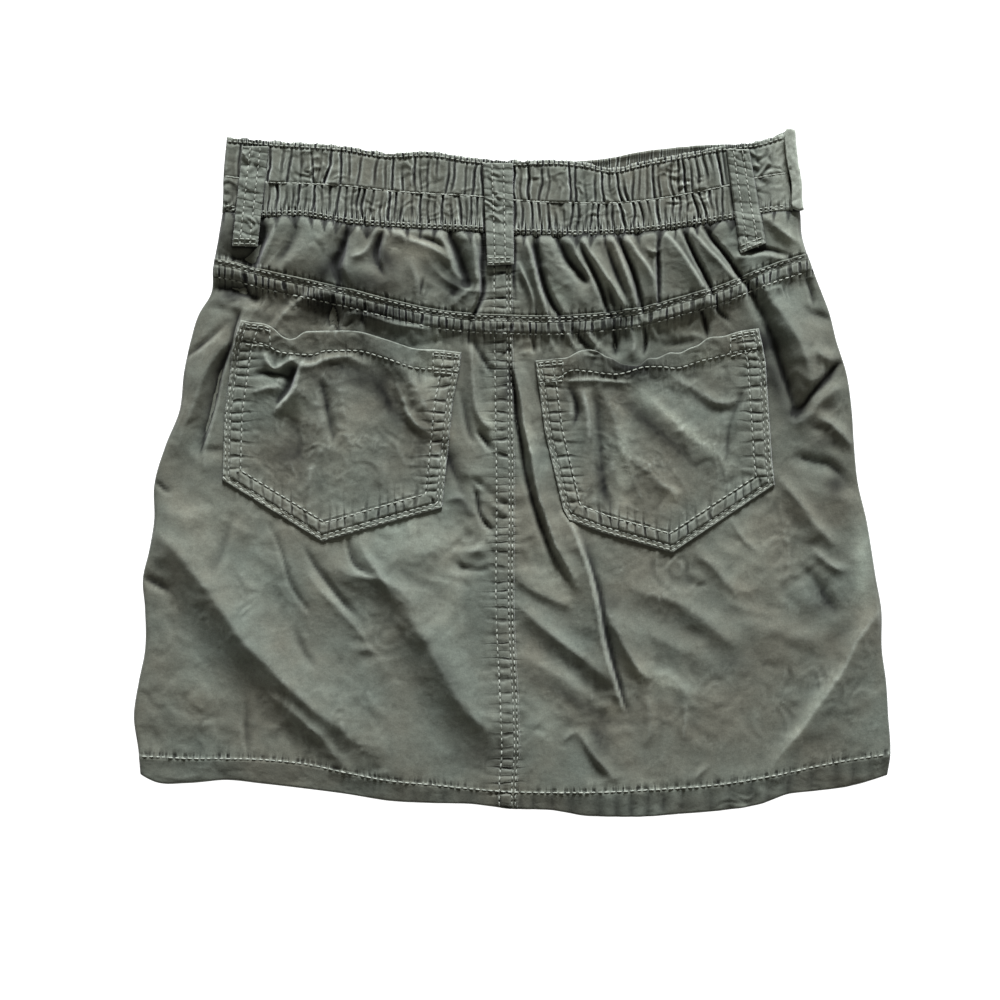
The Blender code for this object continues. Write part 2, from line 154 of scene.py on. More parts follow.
# Folds run along a line of points with a height at each. Left and right are the widths of their two
# faces as one walks along the points, and crest is how round the top is. Valleys have heights below 0.
Fold = namedtuple("Fold", "left right crest line")
BACK_FOLDS = (
    # The long diagonal of the left panel, and the smaller one on its shaded side.
    Fold(26, 21, 1.2, ((-178, -22, 0), (-170, -29, 3.0), (-161, -37, 5.2), (-152, -48, 6.4),
         (-143, -60, 7.0), (-134, -73, 6.8), (-126, -82, 6.6), (-117, -91.5, 6.2), (-108, -101, 5.8),
         (-99, -109, 5.2), (-91, -116, 4.6), (-81, -123, 3.8), (-71, -131, 2.8), (-61, -137, 1.8),
         (-51, -143, 0.8), (-42, -148, 0))),
    Fold(5, 10, 0.8, ((-119, -104, 0), (-111, -110, 1.0), (-103, -116.5, 1.6), (-96, -123, 1.8),
         (-90, -129, 1.6), (-85, -135, 1.2), (-79, -141, 0.7), (-73, -146, 0))),
    # The fold that comes down to the foot of the centre seam, and the ledge that it starts from.
    Fold(22, 19, 1.2, ((-63.5, -51, 0), (-57.5, -58, 2.4), (-51, -64.5, 4.0), (-45.5, -72.5, 5.0),
         (-40.5, -81, 5.4), (-36, -90, 5.6), (-31, -99, 5.6), (-26, -107, 5.4), (-20.5, -114, 4.8),
         (-14, -120, 3.6), (-8, -125, 2.0), (-2, -129, 0))),
    Fold(9, 12, 0.8, ((-90, -41, 0), (-83, -46, 1.2), (-76, -48.5, 2.0), (-69, -49.5, 2.2),
         (-62, -51, 2.2), (-56, -54.5, 2.0), (-50, -60, 1.4), (-45, -66, 0))),
    # Creases under the left pocket's point.
    Fold(3.5, 2, 0.4, ((-100, -33, 0), (-97.5, -39, -0.8), (-94, -46, -1.1), (-89, -53, -1.1),
         (-84, -59, -1.1), (-79, -64, -0.9), (-73, -69, 0))),
    Fold(3, 10, 0.6, ((-102, -40, 0), (-98, -48, 0.7), (-92, -56, 1.0), (-86, -62, 1.1),
         (-79, -69, 1.1), (-73, -76, 1.0), (-68, -84, 0.7), (-62, -92, 0))),
    Fold(4, 2.5, 0.5, ((-79, -30, 0), (-78, -37, -1.0), (-75, -43, -1.3), (-70, -47, -1.1),
         (-63, -50, 0))),
    Fold(4, 5, 0.6, ((-74, -30, 0), (-70, -38, 1.0), (-65, -46, 1.2), (-61, -54, 0.8), (-57, -62, 0))),
    Fold(2.5, 2, 0.4, ((-118, -22, 0), (-115, -28, -0.5), (-111.5, -36, -0.7), (-108.5, -46, -0.8),
         (-105, -55, -0.8), (-100, -63, -0.6), (-96, -70, 0))),
    Fold(3, 4, 0.8, ((-106, -72, 0), (-102, -80, -0.8), (-98, -88, -0.9), (-93, -95, 0))),
    Fold(24, 26, 3.0, ((-78, -44, 0), (-64, -43, 1.4), (-52, -40, 1.8), (-40, -36, 1.4), (-30, -32, 0))),
    # Down from the left side of the yoke, past the pocket.
    Fold(11, 26, 0.8, ((-119, 85, 0), (-125, 77, 2.2), (-131, 70, 3.6), (-143, 56, 4.4),
         (-149.5, 43.5, 4.2), (-156, 28, 3.0), (-161, 16, 1.5), (-166, 6, 0))),
    Fold(3, 2, 0.5, ((-163, 52, -0.6), (-156, 57, -1.4), (-149, 62.5, -1.4), (-141, 69, -0.8),
         (-135, 74, 0))),
    Fold(14, 9, 1.5, ((-178, -16, 0), (-168, -18.5, 1.0), (-158, -20, 1.2), (-148, -20, 1.0),
         (-140, -17, 0))),
    # Where the gathers sink into the yoke seam, left of the middle and under the left loop.
    Fold(20, 22, 3.0, ((-108, 96, 0), (-101, 98, 0.8), (-92, 99, 1.4), (-82, 98, 1.8), (-72, 97, 2.0),
         (-62, 95, 1.9), (-54, 92, 1.4), (-48, 88, 0.8), (-42, 84, 0))),
    Fold(20, 3, 0.8, ((-144, 106, -2.6), (-136, 104, -3.6), (-128, 103, -3.6), (-121, 101, -2),
         (-118, 99, 0))),
    Fold(16, 5, 1.0, ((-150, 90, -1.6), (-140, 90, -2.8), (-131, 88, -3.2), (-124, 86, -2.0),
         (-119, 84, 0))),
    Fold(2, 2.5, 0.4, ((-178, -1, -1.0), (-172, -4, -1.4), (-168, -7, -1.0), (-164, -9, 0))),
    Fold(5, 4, 0.6, ((-184, -44, -1.0), (-176, -50, -1.8), (-170, -54, -1.4), (-162, -58, 0))),
    Fold(4, 6, 1.0, ((-133, -16, 0), (-137, -28, -0.9), (-141, -40, -0.9), (-146, -50, 0))),
    Fold(4, 3, 0.8, ((-128, -108, 0), (-128, -118, -0.8), (-127, -128, -0.9), (-127, -137, 0))),
    # Between the left pocket and the centre seam.
    Fold(4, 4, 0.6, ((-20.5, 64, 0), (-19.5, 55, 1.6), (-18.8, 45, 1.8), (-18, 36, 1.8),
         (-16.5, 29, 1.8), (-13, 24, 1.4), (-9, 20, 0))),
    Fold(3, 2.5, 0.5, ((-19, 66, 0), (-16, 59, -1.2), (-12, 52, -1.2), (-9, 47, 0))),
    Fold(2.5, 2.5, 0.6, ((-25.5, 42, 0), (-23.5, 34, -0.8), (-22, 26, -1.1), (-20.5, 19, -1.1),
         (-18, 14, 0))),
    Fold(3, 2, 0.5, ((-18, 22, 0), (-15, 18.5, -1.8), (-12, 14, -1.8), (-9, 10, 0))),
    Fold(8, 5, 0.8, ((-37, 18, 0), (-33, 11, -1.4), (-29, 3, -1.8), (-25, -7, -1.4), (-20, -16, 0))),
    Fold(10, 6, 1.2, ((-30, -2, 0), (-24, 0, 0.6), (-17, 0, 0.7), (-10, 2, 0.4), (-6, 4, 0))),
    Fold(3, 2, 0.5, ((-20, -1, 0), (-15, -5, -0.9), (-10, -9, 0))),
    Fold(2, 2.5, 0.4, ((-19, -4, 0), (-17, -11, -1.4), (-15.5, -19, -1.6), (-12, -25, -1.4),
         (-8, -28, 0))),
    Fold(3, 8, 0.6, ((-33, -13, 0), (-29, -11.5, 1.2), (-25, -11.5, 1.4), (-21.5, -15, 1.0),
         (-19, -20, 0))),
    Fold(4, 10, 0.8, ((-30, -26, 0), (-28.5, -36, 0.4), (-27.5, -48, 0.6), (-26, -60, 0.6),
         (-25, -70, 0.5), (-24, -80, 0))),
    Fold(2.5, 4, 0.5, ((-30, -41, 0), (-26, -44, -0.8), (-20, -45.5, -0.9), (-14, -45.5, -0.8),
         (-8, -44, 0))),
    Fold(4, 4, 0.8, ((-26, -37, 0), (-21, -36.5, 0.9), (-15, -37, 0.9), (-10, -38, 0))),
    # The overlapping fold that starts on the centre seam and runs down past the right pocket.
    Fold(10, 2.2, 0.5, ((-4, 58, 0), (-1.5, 54, 1.6), (1.5, 47, 2.6), (4, 38, 3.2), (5.8, 28, 3.4),
         (6.4, 19, 3.4), (8.6, 9, 3.4), (10.8, -1, 3.4), (12.8, -11, 3.2), (15.6, -21, 3.0),
         (19.4, -31, 2.8), (24, -41, 2.4), (28.5, -50, 1.8), (32, -57, 0))),
    Fold(1.6, 3.2, 0.5, ((-3, 64, 0), (-1.2, 54, -1.8), (0.2, 45, -2.2), (1.6, 35, -2.4),
         (2.8, 25, -2.4), (3.6, 17, -2.2), (5.2, 7, -2.0), (7.6, -4, -1.8), (9.8, -14, -1.6),
         (12.8, -24, -1.4), (17, -34, -1.2), (21.6, -44, -0.8), (26.5, -53, 0))),
    # The sharp ridge from the right pocket's corner to the hem, and the ones that meet it.
    Fold(3.5, 16, 0.4, ((22, -18, 0), (27, -24, 2.0), (31, -31, 3.2), (34, -39, 3.8), (37, -48, 4.0),
         (39.3, -58, 4.2), (41, -68, 4.2), (42.7, -78, 4.0), (45, -88, 3.8), (47.5, -97, 3.2),
         (50.5, -106, 2.4), (54, -115, 0))),
    Fold(2.5, 1.4, 0.4, ((34, -34, 0), (37.5, -43, -0.8), (40.5, -53, -1.4), (42.5, -64, -1.6),
         (44.5, -76, -1.4), (47, -87, -1.6), (50, -98, -2.0), (53.5, -108, -1.4), (57, -116, 0))),
    Fold(14, 4, 0.8, ((-2, -47, 0), (3, -51, 0.8), (9, -55, 1.1), (16, -59, 1.1), (24, -62, 0.8),
         (31, -64, 0))),
    Fold(10, 9, 0.8, ((0, -60, 0), (6, -66, 1.6), (13, -72, 2.4), (20, -78, 2.7), (28, -84, 2.7),
         (36, -90, 2.5), (43, -96, 1.8), (49, -103, 0))),
    Fold(8, 22, 1.0, ((0, -86, 0), (6, -88.5, 1.1), (14, -92.5, 1.5), (23, -97.5, 1.7),
         (32, -103, 1.7), (40, -108.5, 0.9), (46, -113, 0))),
    Fold(6, 3, 0.6, ((30, -122, 0), (35, -128, 1.2), (40, -136, 1.8), (45, -142, 1.6), (50, -148, 0))),
    Fold(2.5, 2.5, 0.4, ((23, -130, 0), (27, -126, 0.8), (32, -122, 0))),
    Fold(14, 7, 0.8, ((41, -58, 0), (45, -66, 1.6), (50, -75, 2.4), (55, -85, 2.8), (60, -93, 2.6),
         (66, -100, 0))),
    # Soft diagonals of the right panel.
    Fold(12, 10, 1.5, ((52, -52, 0), (62, -56, 1.4), (76, -61, 2.0), (90, -69, 2.2), (101, -78, 1.8),
         (110, -87, 0))),
    Fold(10, 12, 1.5, ((44, -66, 0), (58, -74, 0.9), (74, -81, 1.1), (90, -88, 1.0), (103, -96, 0))),
    Fold(8, 10, 1.2, ((54, -92, 0), (63, -97, 0.5), (74, -101, 0.7), (86, -105, 0.7), (97, -109, 0.5),
         (108, -113, 0))),
    Fold(10, 18, 1.5, ((100, -68, 0), (112, -71, 0.8), (126, -75, 1.2), (140, -79, 0.9), (150, -84, 0))),
    Fold(5, 3, 0.8, ((64, -103, 0), (66, -112, 0.9), (66, -122, 0.7), (64, -132, 0))),
    Fold(4, 3, 0.6, ((82, -105, 0), (83.5, -114, 0.8), (82, -124, 0.7), (80, -134, 0))),
    Fold(3, 3, 0.5, ((86, -150, 0), (90, -144, 0.9), (95, -138, 0))),
    Fold(7, 6, 0.6, ((84, -36, 0), (90, -40, 0.8), (97, -45, 1.0), (103, -52, 0.9), (109, -60, 0.5),
         (114, -68, 0))),
    Fold(4, 2.5, 0.4, ((104, -20, 0), (108, -26, 0.5), (113, -33, 0.6), (118, -38, 0))),
    # The right side, from the hem up to the yoke.
    Fold(20, 9, 0.8, ((180, -62, 0), (175, -67.5, 2.6), (170, -74, 3.4), (165, -82, 3.6),
         (159, -92, 3.6), (152.5, -103, 3.5), (145, -113.5, 3.2), (137.5, -124, 2.7), (130, -134, 1.9),
         (124, -142, 1.0), (119, -149, 0))),
    Fold(8, 9, 2.0, ((165, -4, 0), (168, -18, 0.3), (170, -32, 0.4), (172, -46, 0.8), (174, -57, 1.2),
         (177, -66, 1.2), (180, -74, 0))),
    Fold(6, 22, 1.5, ((134, -5, 0), (146, -9, 0.7), (155, -11, 1.0), (163, -12, 1.0), (170, -12, 0))),
    Fold(6, 7, 0.8, ((126, 0, 0), (133, -8, 1.7), (140, -17, 2.0), (146, -25, 2.0), (152, -31, 1.6),
         (158, -36, 0))),
    Fold(4, 4, 0.6, ((144, -34, 0), (149, -40, 1.2), (155, -45, 1.2), (162, -47, 0))),
    Fold(6, 8, 1.0, ((136, -42, 0), (144, -50, -1.4), (151, -60, -1.6), (157, -70, 0))),
    Fold(5, 8, 0.7, ((134, 10, 0), (139, 8, -1.2), (145, 6.5, -1.6), (151, 5.5, -1.6),
         (156, 1.5, -1.6), (161, -4, -0.8), (165, -9, 0))),
    Fold(7, 6, 0.7, ((146, 27, 0), (150.5, 25, 1.6), (155, 21.5, 2.4), (160, 17.5, 2.4),
         (166, 13.5, 1.4), (170, 10, 0))),
    Fold(4, 4, 0.5, ((164, 55, -0.6), (157, 53, -1.8), (153, 49.5, -2.6), (148.5, 44, -2.8),
         (144.5, 38.5, -2.4), (141, 33.5, -1.8), (137.5, 30.5, -1.0), (132, 28.5, 0))),
    Fold(10, 5, 1.0, ((165, 44, 0), (157, 42, 1.4), (150, 36, 2.0), (145, 30, 2.0), (139, 26, 1.6),
         (132, 25, 0))),
    Fold(20, 25, 0.9, ((112, 103, 0), (116.5, 96, 3.0), (121.5, 86, 4.6), (129, 76.5, 5.8),
         (135.5, 67, 6.4), (139.5, 57, 6.0), (142.5, 48, 4.8), (144.5, 39, 2.6), (146, 31, 0))),
    Fold(8, 5, 0.8, ((143, 61, 0), (148, 57.5, 1.6), (153, 55.5, 1.8), (159, 54, 0))),
    Fold(3, 7, 0.8, ((138, 81, 0), (143, 78, -1.2), (148, 76.5, -1.6), (153.5, 74.5, -1.4),
         (158, 73, 0))),
    Fold(3, 2, 0.5, ((140, 98, 0), (142.5, 91, -1.4), (144, 84, -1.2), (145, 78, 0))),
)

# Folds of the panels that stop at the pockets' edges.
BESIDE_POCKETS = (
    Fold(4, 16, 0.6, ((-118, 66, 0), (-112, 74, 1.6), (-105, 81, 2.4), (-97, 85.5, 2.4),
         (-88, 87, 1.8), (-80, 84, 0))),
    Fold(2.5, 10, 0.6, ((-84, 78, 0), (-74, 76.5, 1.6), (-63, 74, 2.0), (-52, 71, 1.8),
         (-43, 69.5, 1.2), (-34, 68, 0))),
    Fold(2, 2, 0.4, ((-87, 84, -1.2), (-85.5, 78, -2.2), (-85, 72, -2.0), (-85, 67, 0))),
    Fold(2, 3, 0.4, ((-70, 80, -1.0), (-72, 75, -1.6), (-71, 70, 0))),
    Fold(2.5, 10, 0.6, ((52, 70, 0), (61, 72.5, 0.7), (72, 75, 0.9), (84, 79.5, 1.0), (95, 84, 0.9),
         (104, 88, 0))),
    Fold(1.6, 1.6, 0.3, ((10, 68, -0.6), (10.6, 62, -1.2), (11.2, 56, 0))),
    Fold(2, 2.5, 0.3, ((17, 69, 0.6), (18.6, 63, 1.1), (21, 57, 0))),
    Fold(2, 2, 0.4, ((24, 69.5, 0.6), (26.6, 65.5, 1.2), (29.4, 62, 1.2), (32.4, 59, 0))),
    Fold(1.8, 2.6, 0.3, ((29.5, 69, -0.8), (32, 66.2, -1.9), (35.4, 62.2, -2.0), (40, 59, 0))),
    Fold(2.5, 2, 0.4, ((34.6, 69, 0.5), (38, 64.6, 1.2), (43.6, 58.6, 0))),
    Fold(3.2, 3, 0.4, ((47.4, 71, -0.8), (48.6, 66.5, -1.9), (49.4, 61, -2.0), (50, 56, 0))),
    Fold(5, 5, 0.5, ((57, 71, 0.8), (57.6, 65, 1.6), (58, 58, 1.4), (58, 53, 0))),
    Fold(1.6, 2.2, 0.3, ((62.6, 73, -0.8), (64.3, 67.5, -1.9), (64, 62, -1.9), (62.6, 56, 0))),
    Fold(2, 2, 0.4, ((66.6, 72.4, 0.4), (68.4, 67.6, 1.1), (71.4, 63.6, 0))),
    Fold(2, 2, 0.4, ((89, 80, -0.8), (91.5, 75, -2.2), (93.5, 68, -1.8), (94, 64, 0))),
    Fold(4, 4, 0.8, ((70, 62.6, 0), (76, 62.4, -1.0), (84, 63.4, -1.0), (90, 65.6, 0))),
    Fold(1.8, 2, 0.4, ((97, 80, -0.8), (100.5, 76.6, -1.3), (105.4, 73, 0))),
    Fold(1.8, 10, 0.4, ((-130, 80, 0), (-132.5, 72, -2.6), (-135.5, 63, -3.6), (-138.5, 54, -3.6),
         (-141, 45, -3.4), (-143.5, 35, -3.0), (-146, 25, -2.6), (-148.5, 15, -1.8), (-150, 8, 0))),
    Fold(9, 2.6, 0.3, ((-140, 42, 0), (-142, 34, 0.6), (-144.5, 24, 0.8), (-147, 13, 0.9),
         (-147.5, 6, 0.8), (-147, -2, 0))),
    Fold(3, 6, 0.4, ((-150, 12, 0), (-146, 11.5, -0.7), (-141, 11.5, -0.7), (-136, 11, 0))),
    Fold(4, 3, 0.6, ((3, 60, 0), (6, 53, -0.3), (9, 47, -0.4), (12, 40, -0.4), (16, 32, 0))),
    Fold(7, 5, 1.0, ((106, 101, 0), (111, 94, -2.4), (116, 85, -3.0), (121.5, 75, -3.0),
         (125, 65, -3.0), (128, 55, -3.0), (131.5, 45, -3.0), (134, 37, -2.4), (136, 31, -1.6),
         (137, 26, 0))),
)

# The yoke's gathers, let out of the waistband: puffs with sharp edges, and deep narrow gaps between them.
YOKE_FOLDS = (
    Fold(3, 9, 0.8, ((-119, 124, -1.0), (-120, 114, -3.0), (-123, 106, -3.4), (-126, 100, -2.8),
         (-128, 92, -2.0), (-131, 82, 0))),
    Fold(12, 1.8, 0.5, ((-112.5, 123, 1.0), (-116, 114, 2.4), (-118.8, 106.5, 2.8), (-121.3, 99, 2.4),
         (-123.5, 91, 1.6), (-126, 84, 0))),
    Fold(4, 4, 1.2, ((-103, 119, 0), (-106, 112, -1.2), (-110, 105, -1.4), (-115, 100, 0))),
    Fold(18, 11, 1.2, ((-82, 120, 1.0), (-88, 116, 1.6), (-95, 111.5, 2.0), (-101, 106.5, 2.0),
         (-107, 101.5, 1.7), (-112, 97.5, 1.0), (-118, 92, 0))),
    Fold(7, 6, 0.6, ((-78.5, 120, -1.0), (-80, 113, -3.6), (-82, 107, -4.6), (-84.5, 101, -4.8),
         (-84.5, 96, -4.4), (-84, 91, -3.4), (-86, 84, -2.6), (-88, 76, -2.2), (-88, 68, 0))),
    Fold(10, 1.5, 0.5, ((-77.8, 120, 0.8), (-78.6, 113, 1.6), (-79.5, 105, 1.2), (-80.5, 99, 1.0),
         (-78.5, 93, 0.7), (-74, 88, 0))),
    Fold(5, 4, 0.6, ((-65.5, 118, 1.0), (-67.5, 112, 1.8), (-71, 107, 1.8), (-75, 104.5, 1.4),
         (-79, 104, 0))),
    Fold(2.5, 11, 0.5, ((-62, 118, -1.0), (-63.8, 112, -3.4), (-65.2, 107, -3.8), (-65, 102, -3.0),
         (-62.5, 97, -1.4), (-60, 93, 0))),
    Fold(4, 18, 0.7, ((-60, 117, 1.0), (-55, 115.5, 2.0), (-50, 112.5, 2.2), (-44, 110, 2.2),
         (-38, 107.5, 2.0), (-33, 104.5, 1.4), (-29, 101, 0))),
    Fold(2, 2, 0.4, ((-52, 117, 0), (-46, 114, -0.6), (-40, 112, -0.8), (-34, 109.5, -0.6),
         (-31, 106, 0))),
    Fold(3, 10, 0.5, ((-37.5, 119, 0.8), (-33.5, 112.5, 2.2), (-30.6, 107.5, 2.8), (-29.2, 102, 2.6),
         (-28, 97.5, 2.2), (-25.5, 94.5, 1.4), (-22, 92.5, 0))),
    Fold(5, 4, 1.0, ((-31, 117, -1.4), (-27.5, 110, -2.6), (-25.5, 104, -3.0), (-24, 98, -3.2),
         (-21.5, 91, -2.4), (-20, 84, 0))),
    Fold(1.6, 7, 0.4, ((-20.5, 117, 1.0), (-18.8, 112, 2.4), (-17.9, 106, 3.0), (-17.4, 99, 3.2),
         (-17, 92, 3.2), (-17, 86, 2.8), (-18.2, 80, 1.6), (-20, 75, 0))),
    Fold(2.2, 1.6, 0.4, ((-15, 116, -1.5), (-14.8, 108, -3.0), (-14.8, 100, -3.2), (-14.6, 92, -3.4),
         (-14.8, 86, -3.2), (-16.8, 80, -2.8), (-19.5, 74, -2.4), (-20.8, 68, -1.8), (-21, 60, 0))),
    Fold(4, 5, 0.8, ((-30, 80, 0), (-26, 84, 1.6), (-21.5, 88, 1.8), (-17.5, 92, 0))),
    Fold(5, 4, 1.0, ((-50, 104, 0), (-47, 96, 1.2), (-45.5, 89, 1.2), (-45, 82, 0))),
    Fold(1.5, 1.5, 0.4, ((-42.5, 95, 0), (-43.5, 89, -1.0), (-44.5, 83, 0))),
    Fold(5, 4, 1.0, ((-138, 124, 0.4), (-137, 115, 1.2), (-138, 106, 1.0), (-140, 96, 0))),
    # Right half.
    Fold(1.5, 1.5, 0.4, ((1.5, 112, -1.0), (1.2, 104, -2.0), (1.0, 96, -1.6), (1, 88, -1.0), (1, 80, 0))),
    Fold(1.6, 7, 0.5, ((6.8, 113, 1.0), (8.6, 108, 3.0), (10.4, 101, 3.8), (11.8, 94, 3.8),
         (13.4, 87, 3.4), (15.2, 80, 2.6), (17.5, 73, 1.4), (20, 66, 0))),
    Fold(1.5, 3, 0.4, ((3, 102, 0), (5.5, 96, 1.4), (8, 89, 1.6), (9.3, 82, 1.2), (9.8, 74, 0))),
    Fold(3.2, 3.5, 0.6, ((10.5, 113, -1.5), (11.8, 106, -2.8), (13.4, 98, -3.2), (15.5, 90, -3.4),
         (18.5, 83, -3.4), (21.5, 78, -2.6), (24, 73, 0))),
    Fold(12, 16, 3.0, ((13, 115, 1.0), (17, 108, 1.4), (22, 100, 1.6), (28, 92, 1.6), (33, 86, 1.4),
         (37, 80, 0.8), (40, 74, 0))),
    Fold(4, 4, 0.8, ((20.8, 114, -1.5), (22.5, 109, -2.6), (25, 104, -2.8), (29, 99.5, -2.6),
         (34, 94, -2.2), (37, 90, 0))),
    Fold(2.5, 5, 0.5, ((27, 115, 1.0), (29.5, 109, 2.0), (32.5, 102, 2.2), (36, 96, 1.8),
         (39, 90, 1.0), (41, 84, 0))),
    Fold(2, 2, 0.6, ((31, 113, -0.5), (33.8, 107.5, -1.0), (36.8, 101.5, -1.3), (39.8, 95, -1.6),
         (42.5, 89, -2.0), (44.5, 83.5, -2.6), (46, 78, -2.4), (48, 72, 0))),
    Fold(3, 3, 1.0, ((45, 92, 0), (47, 87, -2.0), (48.5, 82, -1.8), (50, 77, 0))),
    Fold(6, 4.5, 0.6, ((33, 114, 1.0), (36, 108, 2.0), (40.5, 101, 2.6), (45, 94, 3.0),
         (49.5, 87, 3.0), (53.5, 81, 2.3), (57, 74, 0))),
    Fold(2, 2, 0.5, ((43.5, 112, -0.4), (46.5, 105, -1.0), (49, 98, -1.1), (51.5, 91, -1.2),
         (55, 84, -0.9), (58, 77, 0))),
    Fold(1.6, 7, 0.5, ((46, 115, 1.0), (49.5, 109, 2.1), (52.6, 102.5, 2.7), (55, 95, 3.2),
         (57, 88, 3.0), (59, 81, 2.0), (61, 74, 0))),
    Fold(2.2, 1.6, 0.4, ((50.5, 113, -1.2), (54, 107, -2.4), (57, 100, -2.8), (58.8, 93, -2.8),
         (60.6, 86, -2.6), (62.6, 79, -2.0), (65, 71, 0))),
    Fold(1.6, 8, 0.5, ((54, 115, 1.0), (58.5, 109, 1.7), (62.5, 103, 2.0), (66, 96.5, 2.4),
         (68.2, 91, 2.4), (68.6, 84, 2.0), (68, 76, 0))),
    Fold(1.6, 1.4, 0.4, ((70.5, 116, -1.0), (69.8, 109, -2.0), (69.5, 103, -3.2), (69.8, 96, -3.6),
         (70.2, 89, -3.2), (70, 82, -2.2), (69.5, 75, 0))),
    Fold(2, 2, 0.4, ((64, 110, 0), (66.5, 107, 1.2), (69, 106.5, 1.2), (71, 109, 0))),
    Fold(2, 14, 0.6, ((70, 117, 1.0), (75, 112.5, 2.2), (80, 107, 3.0), (84.5, 101, 3.3),
         (88.5, 94.5, 3.4), (91.8, 88, 2.8), (94, 81, 1.6), (97, 73, 0))),
    Fold(2, 1.6, 0.4, ((81, 117, -1.2), (85.2, 110, -2.4), (88.8, 103, -2.8), (92, 96.5, -2.8),
         (94.8, 90, -2.6), (97, 84, -1.8), (99, 77, 0))),
    Fold(2, 7, 0.5, ((85, 118, 1.0), (90, 112, 1.9), (95, 106, 2.4), (100, 100.5, 2.4), (104, 96, 1.9),
         (108, 90, 0))),
    Fold(2, 2, 0.5, ((92, 118, -1.2), (97, 111, -2.4), (101.5, 105.5, -2.8), (105.5, 100.5, -3.0),
         (109, 95.5, -3.0), (113, 90, -2.6), (117, 84, 0))),
    Fold(3, 6, 0.6, ((104, 104.5, 0), (109, 104.3, 1.0), (115, 104, 1.3), (121, 104.6, 1.3),
         (127, 103.6, 1.0), (134, 101.5, 0))),
    Fold(2, 2, 0.6, ((108, 108, 0), (114, 107, -1.0), (122, 107.5, -1.2), (129, 106.5, -0.8),
         (134, 104, 0))),
    Fold(7, 5, 0.9, ((121, 124, 0.6), (127, 118, 2.0), (133, 114, 2.2), (139, 110, 0.8), (144, 106, 0))),
)

POCKET_FOLDS = (
    # Left pocket: a lap across its upper left corner, with a hollow beside it.
    Fold(14, 1.6, 0.5, ((-99, 56, 0), (-101, 51.5, 2.2), (-103.5, 46, 2.8), (-105.5, 40, 3.0),
         (-108.5, 36, 2.6), (-112.5, 32.5, 1.6), (-115, 28, 0))),
    Fold(2, 7, 0.8, ((-104, 53, 0), (-106, 47, -2.0), (-108, 42, -2.2), (-111, 37, -1.6), (-114, 32, 0))),
    Fold(3, 3, 0.5, ((-119, 60, 0), (-117.5, 54, 1.4), (-114.5, 50.5, 1.8), (-110.5, 52.5, 1.8),
         (-106, 55, 1.2), (-101, 56, 0))),
    Fold(3, 3, 0.6, ((-127, 47.5, 0), (-120, 48.5, -1.2), (-113, 48, -1.2), (-107, 46, 0))),
    Fold(5, 5, 0.8, ((-129, 38, 0), (-122, 40, 1.2), (-115, 41.5, 1.2), (-109, 41, 0))),
    Fold(10, 7, 2.0, ((-104, 38, 0), (-105, 28, -1.8), (-104.5, 18, -2.2), (-102, 9, -1.6), (-98, 2, 0))),
    Fold(4, 4, 0.9, ((-92, 46, 0), (-90.8, 39, -1.2), (-89.2, 30, -1.6), (-87, 21, -1.2), (-85, 13, 0))),
    Fold(12, 6, 2.0, ((-84, 50, 0), (-82, 38, 1.0), (-79, 24, 1.1), (-77, 8, 0.9), (-76, -8, 0))),
    Fold(4, 5, 0.6, ((-108, 56, 0), (-102, 53, 1.2), (-96, 52, 1.8), (-89, 55, 1.6), (-78, 56, 1.2),
         (-66, 51, 0))),
    Fold(11, 17, 2.0, ((-70, 60, 0), (-61, 56, 1.8), (-52, 49, 2.8), (-45.5, 40, 3.0), (-41, 30, 2.4),
         (-37, 18, 0))),
    Fold(4, 4, 0.7, ((-56, 44, 0), (-53, 36, 1.1), (-50, 28, 1.4), (-44, 22, 1.3), (-37, 20, 0))),
    Fold(3, 4, 0.7, ((-47, 54, 0), (-45, 46, -0.9), (-44, 38, 0))),
    Fold(7, 7, 1.5, ((-66, 10, 0), (-62, 0, 0.7), (-58, -12, 0))),
    Fold(5, 4, 1.0, ((-98, 6, 0), (-97, -6, 0.8), (-96, -18, 0))),
    # Right pocket: a ridge under its mouth and a long slant across it.
    Fold(2, 4, 0.3, ((24, 44, 0), (30, 45, 0.9), (40, 45, 1.0), (50, 44.5, 0.8), (58, 43, 0))),
    Fold(4, 3, 0.7, ((26, 42, 0), (30, 36, -1.6), (31, 28, -1.8), (28, 20, 0))),
    Fold(4, 4, 0.8, ((33, 42, 0), (36, 33, 1.4), (37, 22, 1.4), (36, 8, 0))),
    Fold(5, 7, 1.0, ((39, 42, 0), (41, 33, -1.3), (41.8, 20, -1.6), (42.5, 6, -1.5), (45, -8, -1.1),
         (48, -18, 0))),
    Fold(8, 4, 1.0, ((42, 44, 0), (46, 34, 0.8), (50, 22, 0.9), (54, 8, 0.7), (60, -8, 0.5),
         (66, -22, 0))),
    Fold(16, 13, 1.4, ((52, 48, 0), (60, 40, 0.9), (68, 33, 1.4), (76, 26, 1.7), (84, 19, 1.7),
         (92, 12, 1.4), (100, 5, 0.7), (106, -2, 0))),
    Fold(5, 6, 0.7, ((80, 46, 0), (86, 39, -0.6), (94, 33, -0.7), (102, 31, -0.6), (110, 31, 0))),
    Fold(5, 5, 0.8, ((72, 52, 0), (80, 45, 0.9), (90, 38.5, 1.1), (101, 35, 0.9), (111, 36, 0))),
    Fold(5, 3, 0.6, ((112, 42, 0), (109.5, 36, -0.8), (106, 28, -1.0), (103.5, 18, -1.0),
         (102.5, 8, -0.7), (101, -2, 0))),
    Fold(10, 8, 1.2, ((52, 12, 0), (62, 4, 1.2), (74, -6, 1.4), (86, -12, 0))),
)

